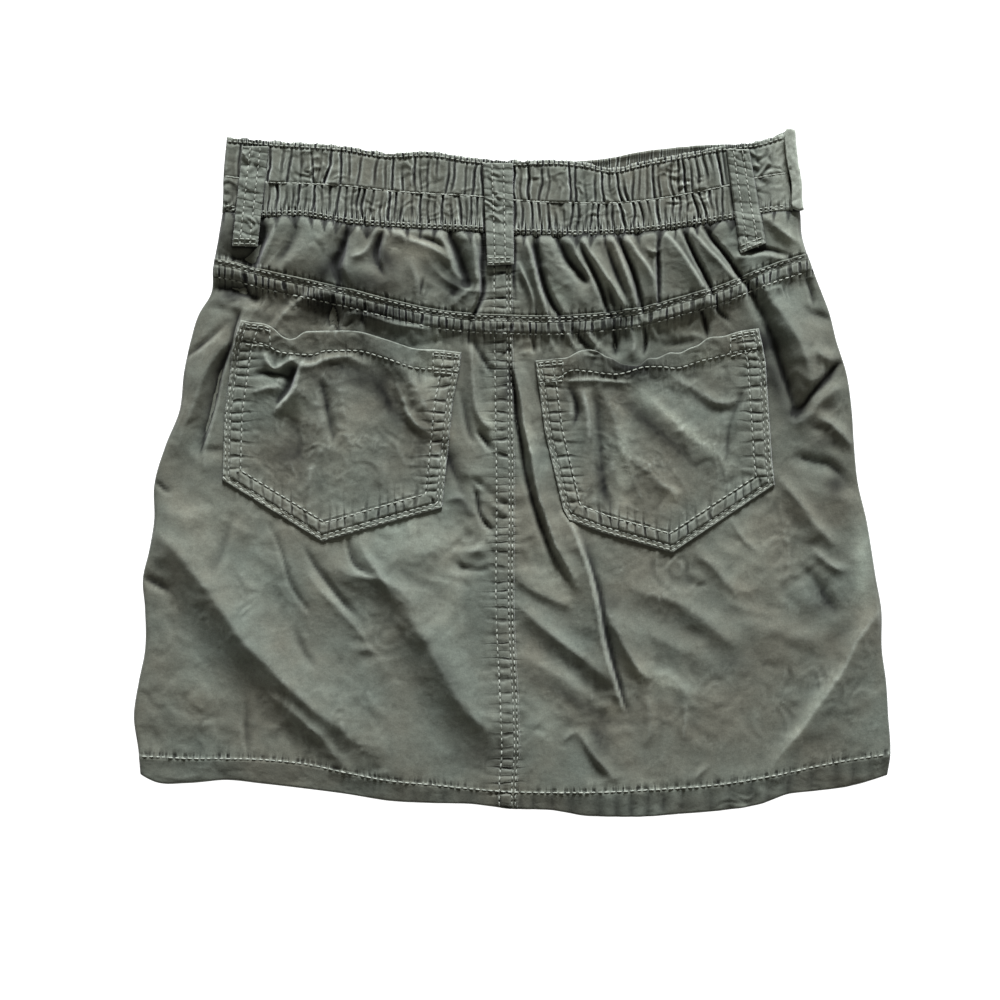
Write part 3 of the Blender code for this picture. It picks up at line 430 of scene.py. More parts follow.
# The waistband's pleats: each valley's place along its channel's upper and lower rows, and its depth.
Pleat = namedtuple("Pleat", "top foot depth")
UPPER_PLEATS = named_rows(Pleat, (
    (-134, -134, 0.4), (-131, -132, 1.2), (-116, -117.5, 1.0), (-110, -111, 0.5), (-106, -108, 0.9),
    (-101.5, -102, 0.4), (-97, -95.5, 0.7), (-91, -93.5, 0.4), (-86, -90, 1.3), (-82, -83, 1.3),
    (-78, -78.5, 0.5), (-72, -74.5, 0.6), (-64.5, -67, 0.7), (-61, -61.5, 0.4), (-57, -58, 1.3),
    (-52.5, -52.5, 0.6), (-47.5, -47, 0.9), (-45, -44, 0.4), (-40, -41.5, 0.6), (-35.5, -37, 0.4),
    (-29.5, -32, 1.1), (-27, -29.5, 0.9), (-22, -23, 0.5), (-17, -19, 1.1), (-14.5, -14.5, 0.8),
    (0.5, 0.5, 1.2), (3.8, 4.5, 0.5), (7.6, 8.2, 1.2), (14.6, 12.8, 0.9), (17.8, 16.4, 0.4),
    (27.2, 28.4, 1.4), (30.4, 30.6, 1.2), (34.5, 35, 0.3), (39.5, 39.3, 0.6), (42.6, 43.6, 1.2),
    (46, 47.6, 0.6), (49.6, 53, 1.3), (52, 55.4, 0.7), (57.8, 57.2, 0.8), (61, 60.4, 0.5),
    (64.6, 65, 0.4), (67.2, 68.4, 1.2), (70, 70.8, 0.7), (75, 77, 0.5), (78.6, 80.2, 0.6),
    (81, 83.4, 1.3), (84.8, 87, 0.9), (88.5, 90.2, 0.6), (91.8, 93.6, 0.6), (94.6, 96.8, 0.4),
    (97.6, 101.2, 1.3), (100.2, 103.6, 1.2), (104.5, 106, 0.8), (114, 117, 0.4), (125, 126, 0.2),
))
LOWER_PLEATS = named_rows(Pleat, (
    (-134, -135, 0.4), (-120, -121, 0.7), (-116, -118, 0.8), (-112.5, -113.5, 1.2), (-108.5, -110, 0.5),
    (-105, -106.5, 0.5), (-102, -104, 1.2), (-98.6, -100, 0.5), (-94.5, -96, 1.2), (-90.6, -92, 0.5),
    (-87, -89, 0.5), (-83, -86, 1.2), (-79.5, -81, 0.5), (-76, -77.5, 0.5), (-73.2, -75, 0.9),
    (-71, -72.4, 1.2), (-67, -68, 0.4), (-63, -64, 0.6), (-59, -59.6, 1.2), (-55.6, -56.5, 1.1),
    (-52.4, -53.8, 0.8), (-48.2, -49, 0.5), (-44, -44.6, 1.2), (-40.2, -41, 0.5), (-37, -37.6, 0.4),
    (-33.2, -34, 1.2), (-29.5, -29, 0.5), (-26, -24.6, 0.8), (-22.6, -22.4, 0.4), (-19.6, -20.6, 0.9),
    (-16.6, -17.4, 0.8), (-13.6, -13.6, 0.7), (0.8, 0.8, 1.2), (4, 5, 0.7), (9.2, 9.6, 1.3),
    (12.6, 13.6, 0.7), (17.2, 17.8, 1.0), (20, 20.8, 0.6), (24.4, 25, 0.4), (29.6, 27.8, 1.0),
    (31.6, 31.8, 0.7), (35.4, 34.6, 0.5), (38.6, 37, 0.9), (41.2, 41.4, 1.2), (45, 46.5, 0.5),
    (47.6, 49, 1.0), (51, 55, 1.3), (57.4, 58.6, 1.1), (60.4, 63.8, 0.9), (65.2, 67.2, 0.4),
    (69.4, 70.4, 1.0), (73, 74, 0.5), (76.4, 77.6, 0.8), (80, 80.8, 0.6), (83.4, 84.4, 0.6),
    (86.6, 89.8, 1.3), (90.2, 93, 1.1), (94.4, 96.4, 0.6), (97.6, 98.6, 0.5), (100.6, 101.4, 1.1),
    (104, 106.6, 1.2), (115, 118, 0.4), (122, 124, 0.3),
))
PLEAT_HEIGHT = 1.5

# The patch pockets' edges, as x and y from corner to corner. The mouth's edge stands above its hem, the
# row of stitches that holds it down.
PocketEdges = namedtuple("PocketEdges", "mouth hem left right foot")
POCKETS = {
    "pocket_left": PocketEdges(
        mouth=((-133, 74.6), (-127, 73), (-117, 71.3), (-114, 69.4), (-110.4, 66.1), (-104.4, 65.1),
               (-100.4, 67.8), (-94, 68.6), (-87, 68.8), (-74, 68.4), (-60, 64.4), (-46, 60), (-36, 59.6),
               (-24, 58.4)),
        hem=((-136, 65), (-123, 63.2), (-117.6, 61.5), (-112.4, 58.7), (-105.6, 57.7), (-100, 57.3),
             (-94.5, 57.5), (-91.5, 58.7), (-84, 59.2), (-74, 59.1), (-60, 55.1), (-46, 50.7),
             (-36, 50.3), (-24, 49.1)),
        left=((-139.4, -3), (-139.0, 14), (-138.5, 29), (-134.2, 60), (-130, 75)),
        right=((-33.8, -16.3), (-31.2, 9), (-28.6, 34.6), (-25.2, 51.4), (-24.4, 60)),
        foot=((-139.4, -3), (-91.4, -32.6), (-33.8, -16.3)),
    ),
    "pocket_right": PocketEdges(
        mouth=((10, 54.3), (19.7, 55.3), (27, 56.2), (31.7, 58.8), (37.4, 59.6), (40.8, 58.8),
               (44.4, 56.6), (48.4, 55.2), (51.8, 53), (55.2, 52.2), (61.4, 52.5), (64.6, 55.2),
               (69.6, 55.8), (75.2, 58.2), (80.6, 58.3), (84.8, 60.3), (89.6, 62.2), (92.6, 64.6),
               (101.6, 66.2), (108.6, 68.4), (119, 70)),
        hem=((10, 45), (22, 46), (27, 49.2), (35.5, 49.3), (44, 48.2), (51, 47.9), (56.3, 49.2), (62, 51),
             (71, 51.4), (79.6, 50.8), (86, 52.7), (90.5, 54.2), (98.5, 56.1), (105.4, 58), (119, 60.7)),
        left=((27.1, -22.1), (24.2, -17), (20.9, -3), (15.3, 20.6), (12.5, 42), (10.4, 56)),
        right=((126, -5.3), (124.6, 7.2), (122.8, 34.6), (121.5, 54.2), (118.2, 70)),
        foot=((27.1, -22.1), (43, -28.3), (77, -37.9), (126, -5.3)),
    ),
}

# Belt loops: the corners of each strap, where it is sewn at the waist and below the waistband.
Strap = namedtuple("Strap", "x_top_left x_top_right y_top x_foot_left x_foot_right y_foot_left y_foot_right")
BELT_LOOPS = {
    "belt_loop_left": Strap(-129.4, -116.9, 157.0, -134.6, -122.2, 109.4, 109.0),
    "belt_loop_centre": Strap(-14.2, 0.2, 149.0, -12.2, 0.7, 99.8, 100.3),
    "belt_loop_right": Strap(102.6, 113.6, 155.8, 109.2, 121.6, 105.6, 110.6),
}


# --- Lines and smooth random fields ---------------------------------------------------------------


def smooth_line(keys, values):
    """A smooth curve through values at rising keys, which reads whole arrays of places."""
    keys, values = np.array(keys, float), np.array(values, float)
    slopes = np.gradient(values, keys)

    def read(place):
        place = np.clip(place, keys[0], keys[-1])
        low = np.clip(np.searchsorted(keys, place) - 1, 0, len(keys) - 2)
        step = keys[low + 1] - keys[low]
        t = (place - keys[low]) / step
        rise = values[low + 1] - values[low]
        start, end = slopes[low] * step, slopes[low + 1] * step
        return values[low] + t * (start + t * (3 * rise - 2 * start - end + t * (start + end - 2 * rise)))

    return read


def columns_of(table):
    """A smooth curve through each column of a table, over the places in its first one."""
    places, *columns = zip(*sorted(table))
    return [smooth_line(places, column) for column in columns]


left_side, centre_seam, right_side = columns_of(LEVELS)
back_waist, front_waist, band_middle, band_foot, yoke_foot, hem_row, hem_line = columns_of(STATIONS)


def moved(line, distance):
    return lambda place: line(place) + distance


def smooth_step(share):
    share = np.clip(share, 0.0, 1.0)
    return share * share * (3 - 2 * share)


def groove(away, half_width):
    """1 on a line, falling to 0 on both sides of it."""
    return np.exp(-((away / half_width) ** 2))


def beside(away, reach):
    """1 up to an edge, falling to 0 away from it."""
    return np.exp(-np.clip(away, 0, None) / reach)


def ripples(x, y, size, seed, waves=16):
    """A smooth random field of about -1 to 1 whose bumps are about size across."""
    rng = np.random.default_rng(seed)
    total = np.zeros_like(x)
    for _ in range(waves):
        turn, start, stretch = rng.uniform(0, 2 * pi), rng.uniform(0, 2 * pi), rng.uniform(0.7, 1.5)
        steps = 2 * pi / (2 * size * stretch)
        total += np.sin(steps * (x * cos(turn) + y * sin(turn)) + start)
    return total / (waves / 2) ** 0.5 * 0.7


def crumple(x, y, size, seed):
    """Short soft creases about size apart, some up and some down, stronger in some places."""
    bent_x = x + 0.5 * size * ripples(x, y, size, seed + 1)
    bent_y = y + 0.5 * size * ripples(x, y, size, seed + 2)
    up = np.sqrt(ripples(bent_x, bent_y, size, seed + 3) ** 2 + 0.006)
    down = np.sqrt(ripples(bent_x, bent_y, size, seed + 4) ** 2 + 0.006)
    strength = 0.55 + 0.45 * ripples(x, y, 3.5 * size, seed + 5)
    return (up - down) * np.clip(strength, 0.1, 1.2)


def scatter(cell, seed):
    """A fixed random number from 0 to 1 for each whole number."""
    return np.modf(np.abs(np.sin(cell * 12.9898 + seed * 78.233) * 43758.5453))[0]


# --- Folds ----------------------------------------------------------------------------------------


def curve_through(points, steps=4):
    """The points of a smooth curve through rows of x, y and height."""
    rows = np.array(points, float)
    at = np.arange(len(rows))
    fine = np.linspace(0, len(rows) - 1, steps * (len(rows) - 1) + 1)
    return np.stack([smooth_line(at, rows[:, i])(fine) for i in range(rows.shape[1])], axis=1)


def along_line(x, y, line):
    """Each point's distance from a line, above 0 on the line's left, and its place along the line's rows."""
    best = np.full(x.shape, np.inf)
    side, at = np.zeros_like(x), np.zeros_like(x)
    for i in range(len(line) - 1):
        (ax, ay), (bx, by) = line[i][:2], line[i + 1][:2]
        run_x, run_y = bx - ax, by - ay
        share = ((x - ax) * run_x + (y - ay) * run_y) / max(run_x**2 + run_y**2, 1e-9)
        share = np.clip(share, 0, 1)
        away = np.hypot(x - ax - share * run_x, y - ay - share * run_y)
        nearer = away < best
        best = np.where(nearer, away, best)
        side = np.where(nearer, run_x * (y - ay) - run_y * (x - ax), side)
        at = np.where(nearer, i + share, at)
    return np.copysign(best, side), at


def drawn(folds):
    """Each fold of a table with the curve through its points."""
    return [(fold, curve_through(fold.line)) for fold in folds]


# How far a fold's edges wander, so that none is quite smooth.
WANDER = 0.4


def near_fold(x, y, fold, line):
    """Which points a fold reaches, with their distance from its line and its height beside them."""
    reach = max(fold.left, fold.right) + 3
    low, high = line[:, :2].min(0) - reach, line[:, :2].max(0) + reach
    near = (x > low[0]) & (x < high[0]) & (y > low[1]) & (y < high[1])
    if not near.any():
        return near, None, None
    wander_x = WANDER * ripples(x[near], y[near], 13, 21)
    wander_y = WANDER * ripples(x[near], y[near], 13, 22)
    away, at = along_line(x[near] + wander_x, y[near] + wander_y, line)
    return near, away, np.interp(at, np.arange(len(line)), line[:, 2])


def folded(x, y, curves):
    """The height that a table of folds adds at each point."""
    height = np.zeros_like(x)
    for fold, line in curves:
        near, away, crest = near_fold(x, y, fold, line)
        if not near.any():
            continue
        width = np.where(away > 0, fold.left, fold.right)
        off = np.clip((np.sqrt(away**2 + fold.crest**2) - fold.crest) / width, 0, 1)
        height[near] += crest * (1 - off) ** 2
    return height


# Folds rounder than this have no sharp crest or bottom.
ROUND_CREST = 0.9


def fold_edges(x, y, curves):
    """The sharp folds' crests, rubbed and with a painted highlight, and the valleys' bottoms with painted
    shade, each as narrow lines from 0 to 1.
    """
    crests, bottoms = np.zeros_like(x), np.zeros_like(x)
    for fold, line in curves:
        near, away, crest = near_fold(x, y, fold, line)
        if not near.any() or fold.crest > ROUND_CREST:
            continue
        sharp = groove(away, 0.75) / (1 + 2 * max(fold.crest - 0.4, 0))
        for lines, high in ((crests, crest), (bottoms, -crest)):
            lines[near] = np.maximum(lines[near], sharp * np.clip(high / 3.5, 0, 1))
    return crests, bottoms


# --- Sewn strips ----------------------------------------------------------------------------------


def pucker_cell(along, across, pitch, seed):
    """How many puckers a place along a seam is from its start; they are unevenly wide."""
    place = along / pitch
    place = place + 0.30 * np.sin(place * 1.13 + seed) + 0.2 * np.sin(place * 0.47 + 2 * seed)
    return place + 0.10 * np.sin(across * 0.25 + 1.3 * place)


def widened(cell, share=1.5):
    """The same places among the puckers, but with wider gaps between them."""
    nearest = np.round(cell)
    away = cell - nearest
    return nearest + 0.5 * np.sign(away) * np.abs(2 * away) ** share


def puckers(along, across, pitch, seed):
    """Small pillows side by side along a seam, unevenly wide and full, with 0 in the dips between them."""
    place = pucker_cell(along, across, pitch, seed)
    cell = np.floor(place)
    share = place - cell
    full = 0.5 + 0.5 * scatter(cell, seed)
    return full * (1 - np.abs(2 * share - 1) ** 3.2)


def sewn_strip(along, from_edge, rows, pitch, seed, height, pillow):
    """A strip of seam allowance between its edge and its last row of stitches, puckered between the rows."""
    inside = smooth_step((from_edge + 0.5) / 0.5) * smooth_step((rows[-1] + 1.4 - from_edge) / 1.8)
    full = puckers(along, from_edge, pitch, seed)
    fine = puckers(along, from_edge, 0.5 * pitch, seed + 1)
    dips = sum(groove(from_edge - row, 0.55) for row in rows)
    high = full * strip_spread(from_edge, rows) + 0.3 * fine * inside * (from_edge < rows[-2])
    return height * inside + pillow * high - 0.4 * dips * inside


def strip_spread(from_edge, rows):
    """How strongly a strip puckers: fully between its rows, and less far out on either side."""
    middle = 0.5 * (rows[-2] + rows[-1])
    half = 0.5 * (rows[-1] - rows[-2])
    between = np.clip(1 - np.abs((from_edge - middle) / half) ** 4, 0, 1)
    spill = beside(from_edge - rows[-1], 3.5) * (from_edge > rows[-1])
    before = beside(rows[0] - from_edge, 2.2) * (from_edge < rows[0])
    return np.maximum(between, 0.75 * spill + 0.55 * before)


# --- The pockets' outlines ------------------------------------------------------------------------


def straight_line(places, values):
    """Straight from one value to the next at rising places."""
    return lambda place: np.interp(place, places, values)


def pocket_lines(edges):
    """A pocket's mouth, hem and foot as y at each x, and its sides as x at each y."""
    left_x, left_y = zip(*edges.left)
    right_x, right_y = zip(*edges.right)
    return PocketEdges(
        mouth=smooth_line(*zip(*edges.mouth)),
        hem=smooth_line(*zip(*edges.hem)),
        left=straight_line(left_y, left_x),
        right=straight_line(right_y, right_x),
        foot=straight_line(*zip(*edges.foot)),
    )


POCKET_LINES = {name: pocket_lines(edges) for name, edges in POCKETS.items()}
FOOT_SLOPE = 0.5  # radians, of both edges of a pocket's pointed foot


def pocket_edges(name, x, y):
    """How far points lie inside a pocket's sides, its foot and its mouth."""
    lines = POCKET_LINES[name]
    inward = np.minimum(x - lines.left(y), lines.right(y) - x)
    return inward, (y - lines.foot(x)) * cos(FOOT_SLOPE), lines.mouth(x) - y


# How far the panels keep below the pockets that cover them.
UNDER_POCKET = 3.0


def under_pockets(x, y):
    """How much lower the panels are for the pockets on them."""
    lowered = np.zeros_like(x)
    for name in POCKETS:
        inside = np.min(pocket_edges(name, x, y), axis=0)
        lowered += UNDER_POCKET * smooth_step((inside - 1.5) / 4.0)
    return lowered


# --- Heights of the outer faces -------------------------------------------------------------------

BACK_CURVES = drawn(BACK_FOLDS)
BESIDE_CURVES = drawn(BESIDE_POCKETS)
YOKE_CURVES = drawn(YOKE_FOLDS)
POCKET_CURVES = drawn(POCKET_FOLDS)


def inside_sides(x, y):
    """How far points lie inside the side folds."""
    return np.minimum(x - left_side(y), right_side(y) - x)


def turned_edge(inward, radius):
    """How far cloth drops where it turns over at an edge, from the points' distance inside it."""
    before = radius - np.clip(inward, 0, radius)
    return radius - np.sqrt(np.clip(radius**2 - before**2, 0, None))


def turned_sides(x, y):
    return turned_edge(inside_sides(x, y), SIDE_RADIUS)


# The washed cloth's own creases, from broad to fine.
Crumple = namedtuple("Crumple", "strength size seed")
BACK_CRUMPLES = (Crumple(0.36, 17, 41), Crumple(0.24, 8, 51), Crumple(0.11, 3.6, 57))


def back_shape(x, y, curves):
    """The back's own folds and creases, before anything is sewn."""
    inward = inside_sides(x, y)
    below_band = band_foot(x) - y
    let_out = 0.72 + 0.28 * smooth_step(below_band / 4.0)
    gathers = folded(x, y, YOKE_CURVES) + YOKE_PUFF * smooth_step((y - yoke_foot(x) + 15) / 12)
    seam = 1 - 0.35 * groove(y - yoke_foot(x) + 4, 5.5) - 0.25 * groove(x - centre_seam(y) + 4, 5.0)
    height = PUFF + FOLD_GAIN * (folded(x, y, curves) + gathers * let_out) * seam
    height += 0.5 * ripples(x, y, 30, 31)
    for strength, size, seed in BACK_CRUMPLES:
        height += strength * crumple(x, y, size, seed)
    height += 0.45 * crumple(x, y, 5.5, 91) * groove(y - yoke_foot(x) + 16, 9)
    return height * (0.55 + 0.45 * smooth_step(inward / SIDE_FADE)) * np.clip(inward / 3 + 0.3, 0, 1)


def panel_shape(x, y):
    return back_shape(x, y, BACK_CURVES + BESIDE_CURVES)


def hem_tucks(x):
    """The soft tucks of the hem's turned edge, from 0 in the dips between them to 1."""
    cell = pucker_cell(x, 0 * x, *HEM_TUCKS)
    full = smooth_step((x + 120) / 130) * (0.6 + 0.4 * scatter(np.floor(cell), 8))
    return 1 - full * (0.5 + 0.5 * np.cos(2 * pi * cell))


def centre_strip(x, y):
    return sewn_strip(y, centre_seam(y) - x, CENTRE_ROWS, *CENTRE_PUCKERS, 0.7, 1.0)


def back_top(x, y):
    """The outer face of the panels, with the yoke seam, the centre seam and the hem sewn."""
    height = BACK_TOP + panel_shape(x, y) - under_pockets(x, y)
    from_yoke = yoke_foot(x) - y
    from_hem = y - hem_row(x)
    height += sewn_strip(x, from_yoke, YOKE_ROWS, *YOKE_PUCKERS, 0.6, 1.3)
    height += centre_strip(x, y) * smooth_step((from_yoke + 2) / 2)
    in_hem = smooth_step((0.8 - from_hem) / 0.8)
    above_hem = puckers(x, from_hem, *HEM_PUCKERS) * beside(from_hem, 3.5) * (from_hem > 0)
    height += in_hem * (0.35 + 0.7 * hem_tucks(x)) + 0.6 * above_hem - 0.4 * groove(from_hem, 0.6)
    height -= 1.7 * smooth_step((5 - from_hem) / 19)
    return height - turned_edge(y - hem_line(x), HEM_RADIUS) - turned_sides(x, y)


def yoke_top(x, y):
    """The outer face of the yokes, which go under the waistband and under the panels' top edge."""
    height = BACK_TOP + panel_shape(x, y) + centre_strip(x, y)
    below_band = band_foot(x) - y
    gathered = 0.35 + 0.65 * smooth_step((x + 122) / 6) * smooth_step((112 - x) / 8)
    height += 1.7 * puckers(x, y, *UNDER_BAND_PUCKERS) * beside(below_band, 3.4) * gathered
    height -= 1.1 * beside(below_band - 0.3, 1.5)
    height += 0.8 * puckers(x, y, *YOKE_PUCKERS) * beside(y - yoke_foot(x), 2.4)
    height -= 0.6 * smooth_step((yoke_foot(x) + 1.5 - y) / 1.5)
    height -= 1.4 * smooth_step((y - band_foot(x) + 0.8) / 1.6)
    return height - turned_sides(x, y)


# --- Painted shade and painted light --------------------------------------------------------------

# Painted shade where light doesn't get into the cloth, and, with a strength below 0, painted light.
PaintedShade = namedtuple("PaintedShade", "x y wide high slant strength")
PANEL_PAINTED_SHADE = named_rows(PaintedShade, (
    # Painted shade where the cloth sinks beside and under its gathers and folds.
    (-134, 86, 9, 4, 0, 0.95), (-92, 82, 9, 7, 0, 0.85), (-66, 77, 18, 5, -0.6, 0.85),
    (117, 64, 12, 5, 0, 0.95), (126, 46, 5, 16, -0.3, 0.85), (137, 28, 6, 4, 0, 0.70),
    (110, 45, 5, 16, 0, 0.40), (155, -6, 5, 6, 0, 0.80), (149, -62, 7, 8, -0.4, 0.60),
    (-34, 7, 6, 9, -0.5, 0.90), (-2, 42, 3, 8, 0, 0.80), (47, -62, 6, 5, 0, 0.60),
    (-12, -136, 18, 7, 0, 0.45), (26, 74, 8, 5, 0, 0.60), (48, 74, 5, 6, 0, 0.75),
    (42, -127, 5, 10, 0, 0.60), (-32, -94, 5, 14, -0.6, 0.45), (25, -106, 5, 12, -1.7, 0.48),
    (105, -91, 14, 6, 0, 0.35), (150, 44, 3, 6, 1.2, 0.60), (150, 15, 8, 3, 0, 0.50),
    (-24, -14, 4, 7, -0.6, 0.70), (-140, 0, 5, 5, 0, 0.25),
    # Painted light, paler where the cloth catches the light.
    (78, 70, 12, 4, 0, -0.65), (60, 67, 3, 6, 0, -0.45), (7, 60, 4, 6, 0, -0.60),
    (-12, 24, 6, 10, 0, -0.80), (7, 16, 4, 12, 0, -0.75), (31, -14, 6, 10, 0, -0.75),
    (-55, -28, 40, 12, 0, -0.62), (-30, -58, 8, 24, 0, -0.45), (168, -44, 4, 24, 0, -0.95),
    (112, -40, 16, 24, 0, -0.45), (22, -50, 14, 16, -0.5, -0.65), (68, -98, 12, 8, -0.8, -0.95),
    (-20, -3, 10, 7, 0, -0.45), (-145, -22, 18, 12, 0, -0.42), (-122, 63, 16, 4, 0, -0.60),
    (142, -117, 4, 26, 0.66, -0.60), (-152, -105, 14, 10, 0, -0.40), (15, -122, 8, 16, 0, -0.50),
    (62, -151, 36, 5, 0, -0.30), (49, -113, 5, 4, 0, -0.80), (-122, -50, 8, 14, 0, -0.38),
    (-37, 64, 6, 5, 0, -0.50), (-33, 20, 6, 5, -1.2, -0.70), (30, 60, 14, 4, 0, -0.40),
    (-92, -58, 6, 7, -0.8, -0.60),
))
YOKE_PAINTED_SHADE = named_rows(PaintedShade, (
    (-129, 99, 9, 4, 0, 0.90), (-89, 98, 6, 9, 0.5, 0.85), (-68, 91, 12, 7, 0, 0.65),
    (-61, 104, 4, 7, -0.4, 0.85), (-27, 90, 6, 6, 0, 0.85), (-45, 106, 10, 4, -1.5, -0.90),
    (131, 112, 8, 5, -0.8, -0.95), (22, 86, 8, 6, 0, -0.55), (44, 93, 3, 14, -0.62, -0.60),
    (50, 104, 2.5, 8, -0.5, -0.50), (60, 103, 3, 7, -0.5, -0.55), (84, 92, 5, 6, 0, -0.60),
))
POCKET_PAINTED_SHADE = named_rows(PaintedShade, (
    (-74, 46, 22, 7, 0, 0.62), (-60, 34, 4, 10, -0.5, 0.80), (-107, 8, 7, 6, 0, 0.65),
    (-44, 10, 4, 8, 0, 0.40), (26, 38, 3, 5, 0, 0.50), (56, 52, 10, 5, 0, 0.80),
    (68, 22, 5, 16, -1.1, 0.70), (43, -6, 3, 13, -0.2, 0.70), (-40, 52, 7, 11, 0, -0.95),
    (-104, 31, 5, 7, 0, -0.95), (-80, 10, 8, 26, 0, -0.40), (80, 24, 5, 18, -1.2, -0.95),
    (53, 4, 4, 22, 0, -0.80), (76, -11, 5, 5, 0, -0.95), (90, 56, 8, 5, 0, -0.90),
))


def painted_shade_at(x, y, shaded_places):
    """How much painted shade, or painted light below 0, goes on the cloth at its listed places."""
    total = 0 * x
    for shaded_place in shaded_places:
        down = (y - shaded_place.y) / shaded_place.high
        across = (x - shaded_place.x - shaded_place.slant * (y - shaded_place.y)) / shaded_place.wide
        total += shaded_place.strength * np.exp(-(across**2 + down**2))
    return total


# --- Making cloth ---------------------------------------------------------------------------------

PLACING_ROUNDS = 8


def place_between(left, right, lines):
    """From shares (across, down) to points between two sides and a stack of lines.

    The sides depend on y and the lines on x, so each round brings a point nearer to where both agree.
    """

    def place(across, down):
        x, y = np.zeros_like(across), np.zeros_like(down)
        for _ in range(PLACING_ROUNDS):
            x = (1 - across) * left(y) + across * right(y)
            levels = [line(x) for _, line in lines]
            y = levels[0].copy()
            for i in range(len(lines) - 1):
                low, high = lines[i][0], lines[i + 1][0]
                y += np.clip((down - low) / (high - low), 0, 1) * (levels[i + 1] - levels[i])
        return x, y

    return place


def stretched(stops):
    """Shares from 0 to 1 in stretches: each stop is a share and the number of steps that lead to it."""
    shares = [np.zeros(1)]
    start = 0.0
    for end, steps in stops:
        shares.append(np.linspace(start, end, steps + 1)[1:])
        start = end
    return np.concatenate(shares)


def linked(name, data):
    """A new object in the scene."""
    item = bpy.data.objects.new(name, data)
    bpy.context.scene.collection.objects.link(item)
    return item


def finished_mesh(bm, name):
    mesh = bpy.data.meshes.new(name)
    bm.to_mesh(mesh)
    bm.free()
    return mesh


def get_points(mesh):
    points = np.zeros(len(mesh.vertices) * 3)
    mesh.vertices.foreach_get("co", points)
    return points.reshape(-1, 3)


def set_points(mesh, points):
    mesh.vertices.foreach_set("co", np.ascontiguousarray(points, np.float32).ravel())
    mesh.update()


def set_values(mesh, name, values):
    attribute = mesh.attributes.new(name, "FLOAT", "POINT")
    attribute.data.foreach_set("value", np.ascontiguousarray(values, np.float32))


def grid_mesh(name, columns, rows):
    """A mesh of columns and rows of points, with the column and the row of each point."""
    bm = bmesh.new()
    bmesh.ops.create_grid(bm, x_segments=columns - 1, y_segments=rows - 1, size=1)
    mesh = finished_mesh(bm, name)
    points = get_points(mesh)
    column = np.rint((points[:, 0] + 1) / 2 * (columns - 1)).astype(int)
    row = np.rint((1 - points[:, 1]) / 2 * (rows - 1)).astype(int)
    return mesh, column, row


def shell_of(mesh, wall):
    """The piece of a mesh, with its wall under it."""
    mesh.shade_smooth()
    piece = linked(mesh.name, mesh)
    shell = piece.modifiers.new("wall", "SOLIDIFY")
    shell.thickness = wall * MM
    shell.offset = -1
    return piece


def blurred(grid, reach):
    """A grid of heights, averaged over reach cells each way."""
    for axis in (0, 1):
        padded = np.concatenate([np.repeat(np.take(grid, [0], axis), reach, axis), grid,
                                 np.repeat(np.take(grid, [-1], axis), reach, axis)], axis)
        sums = np.cumsum(padded, axis)
        sums = np.concatenate([np.zeros_like(np.take(sums, [0], axis)), sums], axis)
        count = grid.shape[axis]
        window = 2 * reach + 1
        grid = (np.take(sums, range(window, window + count), axis)
                - np.take(sums, range(count), axis)) / window
    return grid


# Two sets of puckers for each piece of cloth: where each place is among them, and how deep they are there,
# which sets the painted shade in their gaps.
MARKS = ("across_cell", "across_depth", "down_cell", "down_depth")

# How far round each place heights are averaged, to tell the cloth's fine ridges and its broad hollows,
# and how much higher a ridge is at full rub and painted highlight, and a hollow lower at full painted shade.
FINE_REACH = 1.4
BROAD_REACHES = (4.5, 2.5)
RUB_AND_HIGHLIGHT_GAIN = 3.0
FINE_DEPTH = 1.3
BROAD_DEPTH = 2.2


def cloth(name, columns, rows, place, top, wall, edge_wear=0.0, marks=None):
    """A thin shell of cloth under the face top(x, y), over a grid of shares across and down."""
    mesh, column, row = grid_mesh(name, len(columns), len(rows))
    x, y = place(columns[column], rows[row])
    z = np.maximum(top(x, y), wall + 0.02)
    set_points(mesh, np.stack([x, y, z], axis=1) * MM)
    grid = np.zeros((len(rows), len(columns)))
    grid[row, column] = z
    step = (x.max() - x.min()) / len(columns)
    around = blurred(grid, max(1, round(FINE_REACH / step)))
    fine = (grid - around)[row, column]
    around = grid
    for reach in BROAD_REACHES:
        around = blurred(around, round(reach / step))
    broad = (grid - around)[row, column]
    rim = np.minimum(np.minimum(row, len(rows) - 1 - row), np.minimum(column, len(columns) - 1 - column))
    given = marks(x, y) if marks else {}
    none = 0.0 * x
    # Paler on fine ridges: rubbed wear together with a painted highlight.
    wear_and_highlight = np.clip(fine * RUB_AND_HIGHLIGHT_GAIN, 0, 1) + edge_wear * (rim < 2) + given.get("rub", none)
    # Painted shade in the broad and fine hollows, darker the deeper they are; the marks add more painted
    # shade and light.
    painted_shade_and_light = np.clip(-broad / BROAD_DEPTH, 0, 1) + np.clip(-fine / FINE_DEPTH, 0, 0.5)
    set_values(mesh, "wear_and_highlight", wear_and_highlight)
    set_values(mesh, "painted_shade_and_light", np.clip(painted_shade_and_light + given.get("shade", none), -1, 1))
    for mark in MARKS:
        set_values(mesh, mark, given.get(mark, none))
    return shell_of(mesh, wall)


# --- Pieces ---------------------------------------------------------------------------------------

# How far the yokes go under the waistband and the panels, and the right halves under the left ones.
YOKE_UNDER_BAND = 2.5
YOKE_UNDER_PANEL = 1.5
RIGHT_UNDER_LEFT = 0.8

# How far the front stays inside the back's side folds.
FRONT_INSET = 0.6


